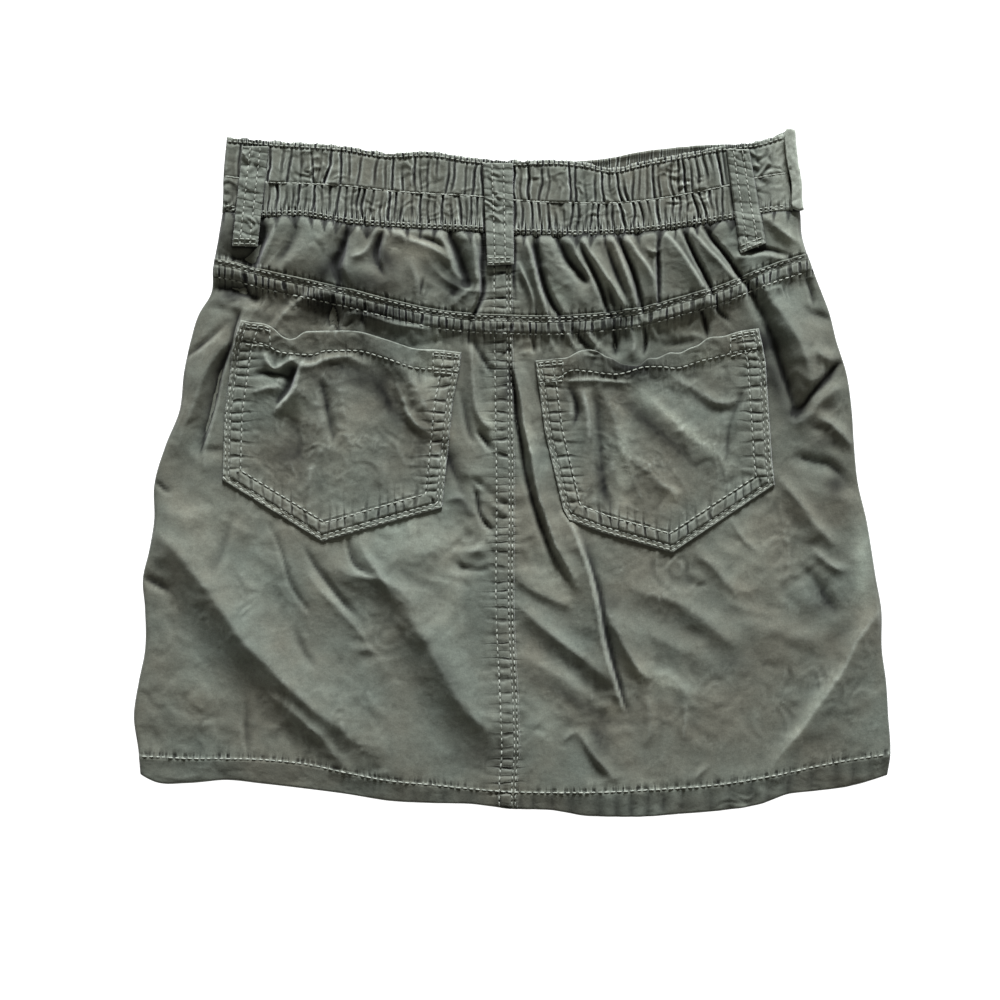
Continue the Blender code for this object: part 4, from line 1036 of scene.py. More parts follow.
def panel_marks(x, y):
    """Gaps between the puckers at the yoke seam, the hem and the centre seam, with painted shade and light,
    and crests rubbed and painted pale.
    """
    from_yoke = yoke_foot(x) - y
    from_hem = y - hem_row(x)
    from_centre = centre_seam(y) - x
    by_yoke = from_yoke < 60
    by_hem = (from_hem < 30) & (np.abs(from_centre - 3) > 12)
    yoke_depth = 1.6 * strip_spread(from_yoke, YOKE_ROWS) ** 2
    hem_depth = 0.8 * beside(np.abs(from_hem - 0.8), 1.2) * (from_hem > 0)
    teeth_depth = 0.8 * smooth_step((2.0 - np.abs(from_hem - 0.9)) / 1.4)
    centre_depth = 0.75 * strip_spread(from_centre, CENTRE_ROWS) * smooth_step((from_yoke - 4) / 5)
    # Painted shade: in the hem and the dips between its tucks, at its turned edge, round the pockets' edges
    # and on the sewn strips.
    in_hem = smooth_step((0.5 - from_hem) / 1.0)
    shade = in_hem * (0.14 + 0.26 * (1 - hem_tucks(x)) + 0.16 * beside(y - hem_line(x), 2.0))
    shade += 0.25 * sum(beside(-np.min(pocket_edges(name, x, y), axis=0), 0.9) for name in POCKETS)
    shade += 0.14 * ((from_yoke > 0) & (from_yoke < YOKE_ROWS[-1]))
    shade += 0.08 * (np.abs(from_centre - 4.5) < 4.5)
    crests, bottoms = fold_edges(x, y, BACK_CURVES + BESIDE_CURVES)
    return {
        "across_cell": np.where(by_yoke, widened(pucker_cell(x, from_yoke, *YOKE_PUCKERS)),
                                widened(pucker_cell(x, from_hem, *HEM_PUCKERS))),
        "across_depth": np.where(by_yoke, yoke_depth, hem_depth),
        "down_cell": np.where(by_hem, widened(pucker_cell(x, from_hem, *HEM_TEETH), 1.8),
                              pucker_cell(y, from_centre, *CENTRE_PUCKERS)),
        "down_depth": np.where(by_hem, teeth_depth, centre_depth),
        "shade": shade + 0.5 * bottoms + side_shade(x, y) + painted_shade_at(x, y, PANEL_PAINTED_SHADE),
        "rub": 0.5 * crests,
    }


def side_shade(x, y):
    """Painted shade: the cloth is painted a little darker where it turns over at the side folds."""
    return 0.34 * beside(inside_sides(x, y), 1.6)


def yoke_marks(x, y):
    """Gaps between the gathers below the band and above the yoke seam, with painted shade and light, and
    crests rubbed and painted pale.
    """
    below_band = band_foot(x) - y
    from_yoke = yoke_foot(x) - y
    from_centre = centre_seam(y) - x
    by_band = below_band < -from_yoke
    gather = pucker_cell(x, y, *UNDER_BAND_PUCKERS)
    to_gap = 2 * np.abs(gather - np.round(gather))
    gap_reach = (0.95 - np.clip(below_band, 0, None) / 8.0) * (0.45 + 0.75 * scatter(np.round(gather), 23))
    # Painted shade in the triangles between the gathers under the band, and a painted shadow under its foot.
    shade = 0.8 * smooth_step((gap_reach - to_gap) / 0.3) + 0.6 * beside(below_band - 0.5, 0.4)
    # Painted shade under the left loop.
    shade += 0.35 * smooth_step((-118 - x) / 5) * smooth_step((y - 98) / 6)
    crests, bottoms = fold_edges(x, y, YOKE_CURVES)
    return {
        "across_cell": np.where(by_band, gather, widened(pucker_cell(x, from_yoke, *YOKE_PUCKERS), 1.8)),
        "across_depth": np.where(by_band, 0.5 * beside(below_band, 1.3),
                                 0.7 * smooth_step((3.2 + from_yoke) / 2.0)),
        "down_cell": pucker_cell(y, from_centre, *CENTRE_PUCKERS),
        "down_depth": strip_spread(from_centre, CENTRE_ROWS),
        "shade": shade + 0.9 * loop_shade(x, y) + 0.5 * bottoms + side_shade(x, y) + painted_shade_at(x, y, YOKE_PAINTED_SHADE),
        "rub": crests,
    }


def strap_foot(strap):
    return 0.5 * (strap.y_foot_left + strap.y_foot_right)


def down_strap(strap, y):
    """How far down a belt loop a place is, from 0 at its top to 1 at its foot."""
    return np.clip((strap.y_top - y) / (strap.y_top - strap_foot(strap)), 0, 1)


def strap_sides(strap, down):
    x_left = (1 - down) * strap.x_top_left + down * strap.x_foot_left
    x_right = (1 - down) * strap.x_top_right + down * strap.x_foot_right
    return x_left, x_right


def loop_shade(x, y):
    """Where painted shadow lies round a belt loop: 1 on the cloth at the edges of a loop that is sewn on it,
    falling to 0 beside it.
    """
    shade = np.zeros_like(x)
    for strap in BELT_LOOPS.values():
        x_left, x_right = strap_sides(strap, down_strap(strap, y))
        aside = np.clip(np.maximum(x_left - x, x - x_right), 0, None)
        below = np.clip(strap_foot(strap) - y, 0, None)
        shade = np.maximum(shade, beside(np.hypot(aside, below), 0.8))
    return shade


def tucked_under(top):
    """The face of a right half, which goes under the left one's edge at the centre seam."""
    return lambda x, y: top(x, y) - 0.7 * smooth_step((centre_seam(y) + 0.9 - x) / 0.9)


def halves(node, lines, columns, rows, top, edge_wear, marks):
    """The left and the right half of the back, between a side fold and the centre seam."""
    sides = {"left": (left_side, centre_seam, top),
             "right": (moved(centre_seam, -RIGHT_UNDER_LEFT), right_side, tucked_under(top))}
    return {
        f"{node}_{side}": cloth(f"cotton_{node}_{side}", stretched(columns[side]), stretched(rows),
                                place_between(left, right, lines), face, CLOTH_WALL, edge_wear, marks)
        for side, (left, right, face) in sides.items()
    }


def make_panels():
    lines = ((0.0, yoke_foot), (0.95, hem_row), (1.0, hem_line))
    columns = {"left": ((0.006, 3), (0.03, 5), (0.93, 150), (1.0, 24)),
               "right": ((0.07, 16), (0.97, 156), (0.994, 5), (1.0, 3))}
    rows = ((0.05, 20), (0.945, 190), (0.992, 20), (1.0, 4))
    return halves("back_panel", lines, columns, rows, back_top, 0.15, panel_marks)


def make_yokes():
    lines = ((0.0, moved(band_foot, YOKE_UNDER_BAND)), (1.0, moved(yoke_foot, -YOKE_UNDER_PANEL)))
    columns = {"left": ((0.01, 3), (0.93, 170), (1.0, 20)), "right": ((0.08, 20), (0.99, 180), (1.0, 3))}
    return halves("back_yoke", lines, columns, ((0.10, 4), (1.0, 58)), yoke_top, 0.0, yoke_marks)


# --- Waistband ------------------------------------------------------------------------------------

# The front band's end, turned over the right side: how far in it reaches, and its heights.
TURNED_WIDTH = 3.9
TURN_FOOT = 1.9
TURN_TOP = 5.6


def band_right(y):
    return right_side(y) - TURNED_WIDTH


def fading(valley, down, depth):
    """A shallow valley starts at one row of stitches and fades before the other; a deep one only narrows."""
    away = np.where(scatter(valley, 12) > 0.45, 1 - down, down)
    gone = smooth_step((away - 0.25 - 0.4 * scatter(valley, 13)) / 0.5)
    return depth * (1 - gone * np.clip(1.55 - depth, 0.3, 1))


def pleat_valleys(x, down, pleats):
    """The pleat that each point is on, how far the valleys at its sides are, and how deep the nearer is."""
    tops, feet, depths = np.array(pleats).T
    valleys = tops * (1 - down[:, None]) + feet * down[:, None]
    cell = np.clip((valleys <= x[:, None]).sum(1) - 1, 0, len(pleats) - 2)
    each = np.arange(len(x))
    to_left = np.clip(x - valleys[each, cell], 0, None)
    to_right = np.clip(valleys[each, cell + 1] - x, 0, None)
    left_depth = fading(cell, down, depths[cell])
    right_depth = fading(cell + 1, down, depths[cell + 1])
    return cell, to_left, to_right, np.where(to_left < to_right, left_depth, right_depth)


def pleated(x, down, pleats):
    """Pleats side by side: flat puffs with raised lips, and narrow valleys that go down between them."""
    cell, to_left, to_right, depth = pleat_valleys(x, down, pleats)
    wide = to_left + to_right
    nearest = np.minimum(to_left, to_right)
    full = (0.55 + 0.45 * np.clip(wide / 7, 0.2, 1)) * (0.75 + 0.4 * scatter(cell, 9))
    share = np.clip(depth, 0.05, 1.2) / 1.2
    puff = 1 - share * np.exp(-((nearest / 0.7) ** 1.5))
    dome = 4 * to_left * to_right / np.maximum(wide, 0.1) ** 2
    lean = 1.5 * (scatter(cell, 5) - 0.5) * (to_left - to_right) / np.maximum(wide, 0.1)
    slope = 2.2 * (scatter(cell, 6) - 0.5) * (down - 0.5)
    lip = groove(nearest - 0.9, 0.45) * (0.3 + 0.7 * scatter(cell + (to_left > to_right), 4))
    height = PLEAT_HEIGHT * full * (0.55 * puff + 0.3 * dome)
    height += (0.5 * lean + slope) * smooth_step(nearest / 1.2)
    return height + 0.45 * lip * depth - 0.9 * depth * groove(nearest, 0.55)


# How wide the marks beside a valley are worked out for, however wide the pleat is.
MARKED_PLEAT = 6


def pleat_cell(x, down, pleats):
    """The place among the valleys for marks: there is a valley at each whole number."""
    cell, to_left, to_right, depth = pleat_valleys(x, down, pleats)
    past_left = cell + np.clip(to_left / MARKED_PLEAT, 0, 0.5)
    before_right = cell + 1 - np.clip(to_right / MARKED_PLEAT, 0, 0.5)
    return np.where(to_left < to_right, past_left, before_right), depth


# How far inside the band's edges its two channels begin, and where the gathers end, at the right loop.
CHANNEL_TOP = 1.6
CHANNEL_FOOT = 1.4
GATHERS_END = 104


def band_shares(x, y):
    """How far down each channel a place is, from 0 at its upper row of stitches to 1 at its lower one."""
    top, middle, foot = back_waist(x) - CHANNEL_TOP, band_middle(x), band_foot(x)
    return (top - y) / (top - middle), (middle - y) / (middle - foot - CHANNEL_FOOT)


def in_channels(read, x, y):
    """What read(x, down, pleats) gives for the upper and for the lower channel's pleats."""
    uneven = x + 0.45 * ripples(x, y, 7, 61)
    return [read(uneven, np.clip(share, 0, 1), pleats)
            for share, pleats in zip(band_shares(x, y), (UPPER_PLEATS, LOWER_PLEATS))]


def band_ends(x, y):
    """The gathers lie between the left side and the right loop; past them the band is nearly smooth."""
    return np.clip(smooth_step((x - left_side(y) - 3) / 8) * smooth_step((GATHERS_END - x) / 4), 0.22, 1)


def band_top(x, y):
    """The gathered casing: two channels of pleats between the rows of stitches."""
    upper, lower = in_channels(pleated, x, y)
    ends = band_ends(x, y)
    from_top, from_middle, from_foot = back_waist(x) - y, y - band_middle(x), y - band_foot(x)
    upper_share, lower_share = band_shares(x, y)
    upper *= 1 - 0.3 * np.abs(np.clip(2 * upper_share - 1, -1, 1)) ** 20
    lower *= 1 - 0.25 * np.abs(np.clip(2 * lower_share - 1, -1, 1)) ** 24
    height = BAND_TOP + np.where(from_middle > 0, upper, lower) * ends
    by_edges = beside(np.abs(from_foot - 2.0), 1.9) + 0.9 * beside(np.abs(from_top - 1.0), 1.6)
    height += 0.9 * puckers(x, from_foot, *BAND_EDGE_PUCKERS) * by_edges * np.clip(ends, 0.35, 1)
    height -= 0.3 * groove(from_middle, 0.45) + 0.5 * groove(from_top - 2.9, 0.5)
    height -= 0.2 * (groove(from_foot - 0.9, 0.45) + groove(from_foot - 2.4, 0.45))
    height += (0.4 + 0.15 * smooth_step((x - 108) / 6)) * crumple(x, y, 5, 63)
    return height - turned_edge(np.minimum(from_top, from_foot), BAND_RADIUS) - turned_sides(x, y)


def band_marks(x, y):
    """Gaps between the pleats of both channels and between the teeth along the band's edges, with painted
    shade and light.
    """
    (upper, upper_depth), (lower, lower_depth) = in_channels(pleat_cell, x, y)
    from_top, from_middle, from_foot = back_waist(x) - y, y - band_middle(x), y - band_foot(x)
    depth = np.where(from_middle > 0, upper_depth, lower_depth)
    ends = band_ends(x, y)
    window = smooth_step((from_top - 2.2) / 1.0) * smooth_step((from_foot - 2.5) / 2)
    teeth = beside(from_foot - 3.4, 1.5) + beside(from_top - 2.6, 0.6)
    # Painted shade along the rows of stitches and on the strip above the top row.
    row_shade = 0.45 * groove(from_top - 2.9, 0.4) + 0.35 * beside(np.abs(from_middle + 0.9), 0.5)
    shade = (row_shade + 0.08 * (from_top < 2.6)) * np.clip(ends, 0.5, 1)
    # Painted shade near the foot, and painted light near the top and at the right end.
    shade += 0.14 * beside(from_foot, 8) - 0.15 * beside(from_top - 3, 4) - 0.45 * smooth_step((x - 122) / 6)
    return {
        "across_cell": np.where(from_middle > 0, upper, lower + 100),
        "across_depth": np.clip(depth, 0, 1.2) ** 1.5 * ends * window,
        "down_cell": widened(pucker_cell(x, from_foot, *BAND_EDGE_PUCKERS), 1.4),
        "down_depth": 2.4 * np.clip(teeth, 0, 1) * np.clip(ends, 0.4, 1),
        "shade": shade + 0.9 * loop_shade(x, y) + side_shade(x, y),
        # A little rub everywhere, and painted light towards the right end.
        "rub": 0.10 + 0.45 * smooth_step((x - 114) / 6),
    }


def ragged(line, height, seed):
    """An edge that its gathers pull into small teeth."""

    def edge(x):
        teeth = puckers(x, 0 * x, BAND_EDGE_PUCKERS.pitch, seed)
        return line(x) - height * (teeth - 0.4) + 0.35 * ripples(x, 0 * x, 3, seed)

    return edge


def make_back_waistband():
    lines = ((0.0, ragged(back_waist, 0.7, 6)), (0.06, moved(back_waist, -2.2)),
             (0.93, moved(band_foot, 2.6)), (1.0, ragged(band_foot, 1.9, 8)))
    place = place_between(left_side, band_right, lines)
    columns = stretched(((0.004, 2), (0.996, 560), (1.0, 2)))
    rows = stretched(((0.06, 5), (0.93, 56), (1.0, 7)))
    piece = cloth("cotton_back_waistband", columns, rows, place, band_top, TRIM_WALL, 0.3, band_marks)
    return {"back_waistband": piece}


def make_front_waistband():
    """The front's band lies under the gathered one, and its right end is turned over the side."""
    lines = ((0.0, front_waist), (1.0, band_foot))
    place = place_between(moved(left_side, FRONT_INSET), right_side, lines)
    # Shares above 1 lie on the turned end: up its round edge to 1.4, then back over the band.
    flat, edge, end = np.linspace(0, 0.98, 150), np.linspace(0.985, 1.0, 5), np.linspace(1.02, 2.0, 16)
    columns = np.concatenate([flat, edge, end])
    rows = stretched(((1.0, 34),))
    mesh, column, row = grid_mesh("cotton_front_waistband", len(columns), len(rows))
    across, down = columns[column], rows[row]
    x, y = place(np.minimum(across, 1.0), down)
    below_top = front_waist(x) - y
    z = BACK_TOP + 0.6 * puckers(x, y, *FRONT_BAND_PUCKERS) * smooth_step((110 - x) / 20)
    z += 0.4 * crumple(x, y, 5, 71)
    z -= 0.7 * smooth_step((below_top - 1.0) / 1.0) + 0.3 * groove(below_top - 1.3, 0.4)
    turn = pi * np.clip((across - 1.0) / 0.4, 0, 1)
    back = np.clip((across - 1.4) / 0.6, 0, None) * TURNED_WIDTH
    z = np.where(across > 1.0, TURN_FOOT + (TURN_TOP - TURN_FOOT) * (1 - np.cos(turn)) / 2, z)
    x = np.where(across > 1.0, x + 0.9 * np.sin(turn) - back, x)
    frayed = across > 1.2
    z = z + np.where(frayed, 0.5 * crumple(x, y, 5, 73), 0)
    x = x + np.where(frayed, 0.5 * ripples(x, y, 9, 74), 0)
    y = y + np.where(down < 0.5, -1, 1) * np.where(frayed, 0.7 * ripples(x, y, 2.5, 75), 0)
    set_points(mesh, np.stack([x, y, z], axis=1) * MM)
    # Painted shade where the front band goes under the back one.
    shade_under_back = 0.42 * smooth_step((below_top - 1.0) / 0.6)
    turned = across > 1.02
    values = {
        # Painted light on the turned end, a rubbed pale top rim, and painted shade by the loops and under
        # the back band.
        "wear_and_highlight": np.where(turned, 1.3, 0.5 * (below_top < 0.9)),
        "painted_shade_and_light": np.where(turned, -0.6, 0.8 * loop_shade(x, y) + shade_under_back),
        "across_cell": pucker_cell(x, y, *FRONT_BAND_PUCKERS),
        "across_depth": 1.2 * (across < 0.98),
        "down_cell": 0 * across,
        "down_depth": 0 * across,
    }
    for mark, value in values.items():
        set_values(mesh, mark, value)
    return {"front_waistband": shell_of(mesh, TRIM_WALL)}


def make_front_panel():
    """Plain cloth on the surface below: only its outline and its underside can be seen."""

    def top(x, y):
        lift = np.clip(0.5 * crumple(x, y, 22, 81), 0, 0.6)
        return FRONT_TOP + lift * smooth_step(inside_sides(x, y) / SIDE_FADE)

    lines = ((0.0, moved(band_foot, -0.3)), (1.0, moved(hem_line, 0.8)))
    place = place_between(moved(left_side, FRONT_INSET), moved(right_side, -FRONT_INSET), lines)
    piece = cloth("cotton_front_panel", stretched(((1.0, 64),)), stretched(((1.0, 48),)), place, top,
                  FRONT_TOP)
    return {"front_panel": piece}


# --- Pockets --------------------------------------------------------------------------------------


def pocket_top(name):
    def top(x, y):
        inward, up, from_mouth = pocket_edges(name, x, y)
        from_edge = np.minimum(inward, up)
        height = BACK_TOP + CLOTH_WALL + back_shape(x, y, BACK_CURVES + POCKET_CURVES)
        height += 0.18 * crumple(x, y, 9, 95)
        along = np.where(up < inward, x, y)
        sewn = sewn_strip(along, from_edge, POCKET_ROWS, *POCKET_PUCKERS, 0.3, 1.0)
        height += sewn * smooth_step((from_mouth - 2) / 6)
        above_hem = y - POCKET_LINES[name].hem(x)
        height += 0.4 * smooth_step((above_hem + 1.2) / 2) - 0.15 * groove(above_hem, 0.6)
        height += 0.5 * puckers(x, y, *POCKET_HEM_PUCKERS) * beside(np.abs(above_hem + 0.7), 5)
        height += 2.1 * smooth_step(inward / 18) * smooth_step((14 - from_mouth) / 14)
        return height - turned_edge(np.minimum(from_edge, from_mouth + 0.3), TRIM_RADIUS)

    return top


def pocket_marks(name):
    def marks(x, y):
        inward, up, from_mouth = pocket_edges(name, x, y)
        from_edge = np.minimum(inward, up)
        by_foot = y < -2
        foot_depth = 0.8 * strip_spread(up, POCKET_ROWS) ** 1.5 * smooth_step((inward - up + 1) / 3)
        hem_depth = 0.5 * beside(np.abs(y - POCKET_LINES[name].hem(x) + 1.2), 2.5)
        # Painted shade on the facings under both mouths.
        tucked_shade = 0.30 * (groove(x - 58, 22) + groove(x + 64, 18)) * smooth_step((12 - from_mouth) / 3)
        crests, bottoms = fold_edges(x, y, POCKET_CURVES)
        return {
            "across_cell": np.where(by_foot, pucker_cell(x, from_edge, *POCKET_PUCKERS),
                                    pucker_cell(x, y, *POCKET_HEM_GAPS)),
            "across_depth": np.where(by_foot, foot_depth, hem_depth * smooth_step((inward - 12) / 4)),
            "down_cell": pucker_cell(y, from_edge, *POCKET_PUCKERS),
            "down_depth": 0.75 * strip_spread(inward, POCKET_ROWS) * smooth_step((up - inward) / 3),
            "shade": 0.5 * bottoms + tucked_shade + painted_shade_at(x, y, POCKET_PAINTED_SHADE),
            # Crests rubbed and painted pale, and a painted highlight along the mouth's edge.
            "rub": 0.8 * crests + 0.5 * beside(np.abs(from_mouth), 0.7),
        }

    return marks


def make_pockets():
    made = {}
    columns = stretched(((0.01, 3), (0.10, 18), (0.90, 118), (0.99, 18), (1.0, 3)))
    rows = stretched(((0.01, 3), (0.13, 22), (0.88, 90), (0.985, 18), (1.0, 3)))
    for name in POCKETS:
        lines = POCKET_LINES[name]
        place = place_between(lines.left, lines.right, ((0.0, lines.mouth), (1.0, lines.foot)))
        made[name] = cloth("cotton_" + name, columns, rows, place, pocket_top(name), TRIM_WALL, 0.9,
                           pocket_marks(name))
    return made


# --- Belt loops -----------------------------------------------------------------------------------


def under_loop(x, y):
    """What a belt loop lies on: the waistband, and the yoke below it."""
    return np.where(y > band_foot(x), band_top(x, y), yoke_top(x, y))


def loop_place(strap):
    def place(across, down):
        x_left, x_right = strap_sides(strap, down)
        y_foot = (1 - across) * strap.y_foot_left + across * strap.y_foot_right
        return (1 - across) * x_left + across * x_right, (1 - down) * strap.y_top + down * y_foot

    return place


# How far a loop's face lies above what it crosses.
LOOP_LIFT = 0.75


def loop_ridge(strap):
    """The height along a loop's middle: over whatever it crosses, smoothed."""
    downs = np.linspace(0, 1, 41)
    across, down = np.meshgrid(np.linspace(-0.05, 1.05, 25), downs)
    x, y = loop_place(strap)(across, down)
    heights = under_loop(x.ravel(), y.ravel()).reshape(x.shape).max(axis=1)
    raised = np.array([heights[max(0, i - 2):i + 3].max() for i in range(len(heights))])
    smoothed = np.convolve(np.pad(raised, 2, mode="edge"), np.ones(5) / 5, mode="valid")
    return smooth_line(downs, smoothed + LOOP_LIFT)


def loop_seed(name):
    return LOOP_PUCKERS.seed + LOOP_SEED_STEP * sorted(BELT_LOOPS).index(name)


def loop_puckers(name, x, y):
    """What a loop's puckers are worked out from: the slanting place along it, across it, pitch and seed."""
    strap = BELT_LOOPS[name]
    slant = 2 * (x - strap.x_top_left) / (strap.x_top_right - strap.x_top_left)
    return y + slant, x, LOOP_PUCKERS.pitch, loop_seed(name)


def loop_top(name):
    strap = BELT_LOOPS[name]
    ridge = loop_ridge(strap)
    wide = strap.x_top_right - strap.x_top_left

    def top(x, y):
        down = down_strap(strap, y)
        x_left, x_right = strap_sides(strap, down)
        across = (x - x_left) / (x_right - x_left)
        height = ridge(down) + 0.3 * (1 - (2 * across - 1) ** 2)
        rows = sum(groove((across - row) * wide, 0.6) for row in LOOP_ROWS)
        full = puckers(*loop_puckers(name, x, y))
        height += 0.3 * full - 0.28 * rows + 0.5 * crumple(x + 0.5 * y, y, 5, loop_seed(name))
        return height - turned_edge(np.minimum(across, 1 - across) * wide, TRIM_RADIUS)

    return top


def loop_marks(name):
    return lambda x, y: {"down_cell": pucker_cell(*loop_puckers(name, x, y)), "down_depth": 0.26 + 0 * x}


def make_belt_loops():
    made = {}
    columns = stretched(((0.03, 2), (0.97, 24), (1.0, 2)))
    rows = stretched(((1.0, 96),))
    for name, strap in BELT_LOOPS.items():
        made[name] = cloth("cotton_" + name, columns, rows, loop_place(strap), loop_top(name), TRIM_WALL,
                           0.8, loop_marks(name))
    return made


# --- Stitches -------------------------------------------------------------------------------------

Stitch = namedtuple("Stitch", "pitch length")
SEAM_STITCH = Stitch(3.1, 2.5)
BAND_EDGE_STITCH = Stitch(2.5, 1.7)
BAND_MIDDLE_STITCH = Stitch(2.3, 2.9)
LOOP_STITCH = Stitch(2.8, 2.5)
STITCH_THICKNESS = 0.72
STITCH_LIFT = 0.06

# Where rows of stitches start and end: y down the centre seam and x along the waistband.
CENTRE_ENDS = (66, -160)
YOKE_CENTRE_ENDS = (99, 77)
BAND_TOP_ENDS = (-137, 130)
BAND_MIDDLE_ENDS = (-138, 133)
BAND_FOOT_ENDS = (-138, 132)

# The heights at which the yoke seam and the hem reach the side folds, and how far inside they end.
YOKE_AT_SIDES = (104, 108)
HEM_AT_SIDES = (-136, -136)
SIDE_GAP = 1.5

# How far inside the waistband's edges its outer rows lie, and where along a loop its foot is sewn down.
BAND_TOP_ROW = 2.1
BAND_FOOT_ROWS = (1.0, 2.5)
LOOP_BARS = (0.93, 0.975)

# How wide the box of stitches at each pocket's corner is, and how far its rows lie below the mouth.
CORNER_BOX = 12.5
CORNER_ROWS = (1.4, 2.8, 10.9)


def even_steps(points, pitch):
    """Points at an even pitch along a line of points, with the direction at each."""
    points = np.array(points, float)
    runs = np.hypot(*np.diff(points, axis=0).T)
    along = np.concatenate([[0], np.cumsum(runs)])
    places = np.arange(pitch / 2, along[-1], pitch)
    (x, y), ahead, behind = [[np.interp(places + step, along, column) for column in points.T]
                             for step in (0, 0.5, -0.5)]
    return x, y, np.arctan2(ahead[1] - behind[1], ahead[0] - behind[0])


def stitch_shape():
    """One stitch of unit size: a spindle along X."""
    bm = bmesh.new()
    turned = Matrix.Rotation(pi / 2, 4, "Y")
    bmesh.ops.create_uvsphere(bm, u_segments=6, v_segments=4, radius=1, matrix=turned)
    return finished_mesh(bm, "stitch")


def make_stitches(name, rows, top, stitch=SEAM_STITCH):
    """Rows of short stitches laid on a face, their ends drawn into the cloth."""
    shape = stitch_shape()
    unit = get_points(shape)
    thick = STITCH_THICKNESS / 2
    bm = bmesh.new()
    rng = np.random.default_rng(len(name))
    placed = []
    for row in rows:
        x, y, turns = even_steps(row, stitch.pitch)
        turns = turns + rng.uniform(-0.06, 0.06, len(x))
        half = 0.5 * stitch.length * rng.uniform(0.88, 1.06, len(x))
        ahead_x, ahead_y = half * np.cos(turns), half * np.sin(turns)
        start, middle, end = top(x - ahead_x, y - ahead_y), top(x, y), top(x + ahead_x, y + ahead_y)
        z = np.maximum(middle, 0.5 * (start + end)) + STITCH_LIFT
        rise = (end - start) / (2 * half)
        for i in range(len(x)):
            bm.from_mesh(shape)
            along, side, up = half[i] * unit[:, 0], thick * unit[:, 1], thick * unit[:, 2]
            placed.append(np.stack([
                x[i] + along * cos(turns[i]) - side * sin(turns[i]),
                y[i] + along * sin(turns[i]) + side * cos(turns[i]),
                z[i] + along * rise[i] + up,
            ], axis=1))
    mesh = finished_mesh(bm, name)
    bpy.data.meshes.remove(shape)
    set_points(mesh, np.concatenate(placed) * MM)
    mesh.shade_smooth()
    return linked(name, mesh)


def across_row(line, start, end, offset=0.0):
    x = np.arange(start, end, 1.0)
    return np.stack([x, line(x) + offset], axis=1)


def down_row(line, start, end, offset=0.0):
    y = np.arange(start, end, -1.0)
    return np.stack([line(y) + offset, y], axis=1)


def inset(points, distance):
    """A line of points moved to its left by a distance, with its corners kept."""
    points = np.array(points, float)
    runs = np.diff(points, axis=0)
    lengths = np.hypot(runs[:, 0], runs[:, 1])
    normals = np.stack([-runs[:, 1], runs[:, 0]], axis=1) / lengths[:, None]
    moved_points = [points[0] + distance * normals[0]]
    for i in range(1, len(points) - 1):
        both = normals[i - 1] + normals[i]
        moved_points.append(points[i] + distance * both / max(0.5 * (both @ both), 0.2))
    moved_points.append(points[-1] + distance * normals[-1])
    return np.array(moved_points)


def between_sides(heights):
    """Where a row that runs across the skirt starts and ends."""
    at_left, at_right = heights
    return left_side(at_left) + SIDE_GAP, right_side(at_right) - SIDE_GAP


def make_seam_stitches():
    yoke_rows = [across_row(yoke_foot, *between_sides(YOKE_AT_SIDES), -offset) for offset in YOKE_ROWS]
    centre_rows = [down_row(centre_seam, *CENTRE_ENDS, -offset) for offset in CENTRE_ROWS]
    yoke_centre = [down_row(centre_seam, *YOKE_CENTRE_ENDS, -offset) for offset in CENTRE_ROWS]
    hem_rows = [across_row(hem_row, *between_sides(HEM_AT_SIDES))]
    band_edges = [across_row(back_waist, *BAND_TOP_ENDS, -BAND_TOP_ROW)]
    band_edges += [across_row(band_foot, *BAND_FOOT_ENDS, offset) for offset in BAND_FOOT_ROWS]
    middle = [across_row(band_middle, *BAND_MIDDLE_ENDS)]
    return [
        make_stitches("stitching_yoke_seam", yoke_rows, back_top),
        make_stitches("stitching_centre_seam", centre_rows, back_top),
        make_stitches("stitching_yoke_centre_seam", yoke_centre, yoke_top),
        make_stitches("stitching_hem", hem_rows, back_top),
        make_stitches("stitching_waistband", band_edges, band_top, BAND_EDGE_STITCH),
        make_stitches("stitching_waistband_middle", middle, band_top, BAND_MIDDLE_STITCH),
    ]


def make_pocket_stitches():
    made = []
    for name, edges in POCKETS.items():
        mouth = POCKET_LINES[name].mouth
        outline = [*reversed(edges.left), *edges.foot[1:-1], *edges.right]
        rows = [inset(outline, offset) for offset in POCKET_ROWS]
        for row in rows:
            for end in (0, -1):
                row[end, 1] = mouth(row[end, 0]) - 1.0
        first, last = rows[0][0, 0], rows[0][-1, 0]
        rows.append(across_row(POCKET_LINES[name].hem, first + 0.5, last - 0.5))
        for offset in CORNER_ROWS:
            rows.append(across_row(mouth, first + 0.5, first + CORNER_BOX, -offset))
            rows.append(across_row(mouth, last - CORNER_BOX, last - 0.5, -offset))
        for x in (first + CORNER_BOX, last - CORNER_BOX):
            y = np.arange(mouth(x) - 1.4, mouth(x) - 11.0, -1.0)
            rows.append(np.stack([np.full(len(y), x), y], axis=1))
        made.append(make_stitches("stitching_" + name, rows, pocket_top(name)))
    return made


def make_loop_stitches():
    made = []
    for name, strap in BELT_LOOPS.items():
        place = loop_place(strap)
        rows = [np.stack(place(across, np.linspace(0.01, 0.99, 60)), axis=1) for across in LOOP_ROWS]
        rows += [np.stack(place(np.linspace(0.03, 0.97, 20), down), axis=1) for down in LOOP_BARS]
        made.append(make_stitches("stitching_" + name, rows, loop_top(name), LOOP_STITCH))
    return made


# --- Materials ------------------------------------------------------------------------------------

GREEN_CLOTH = (0.1325, 0.149, 0.1235)
BROWN_CLOTH = (0.1355, 0.134, 0.1045)
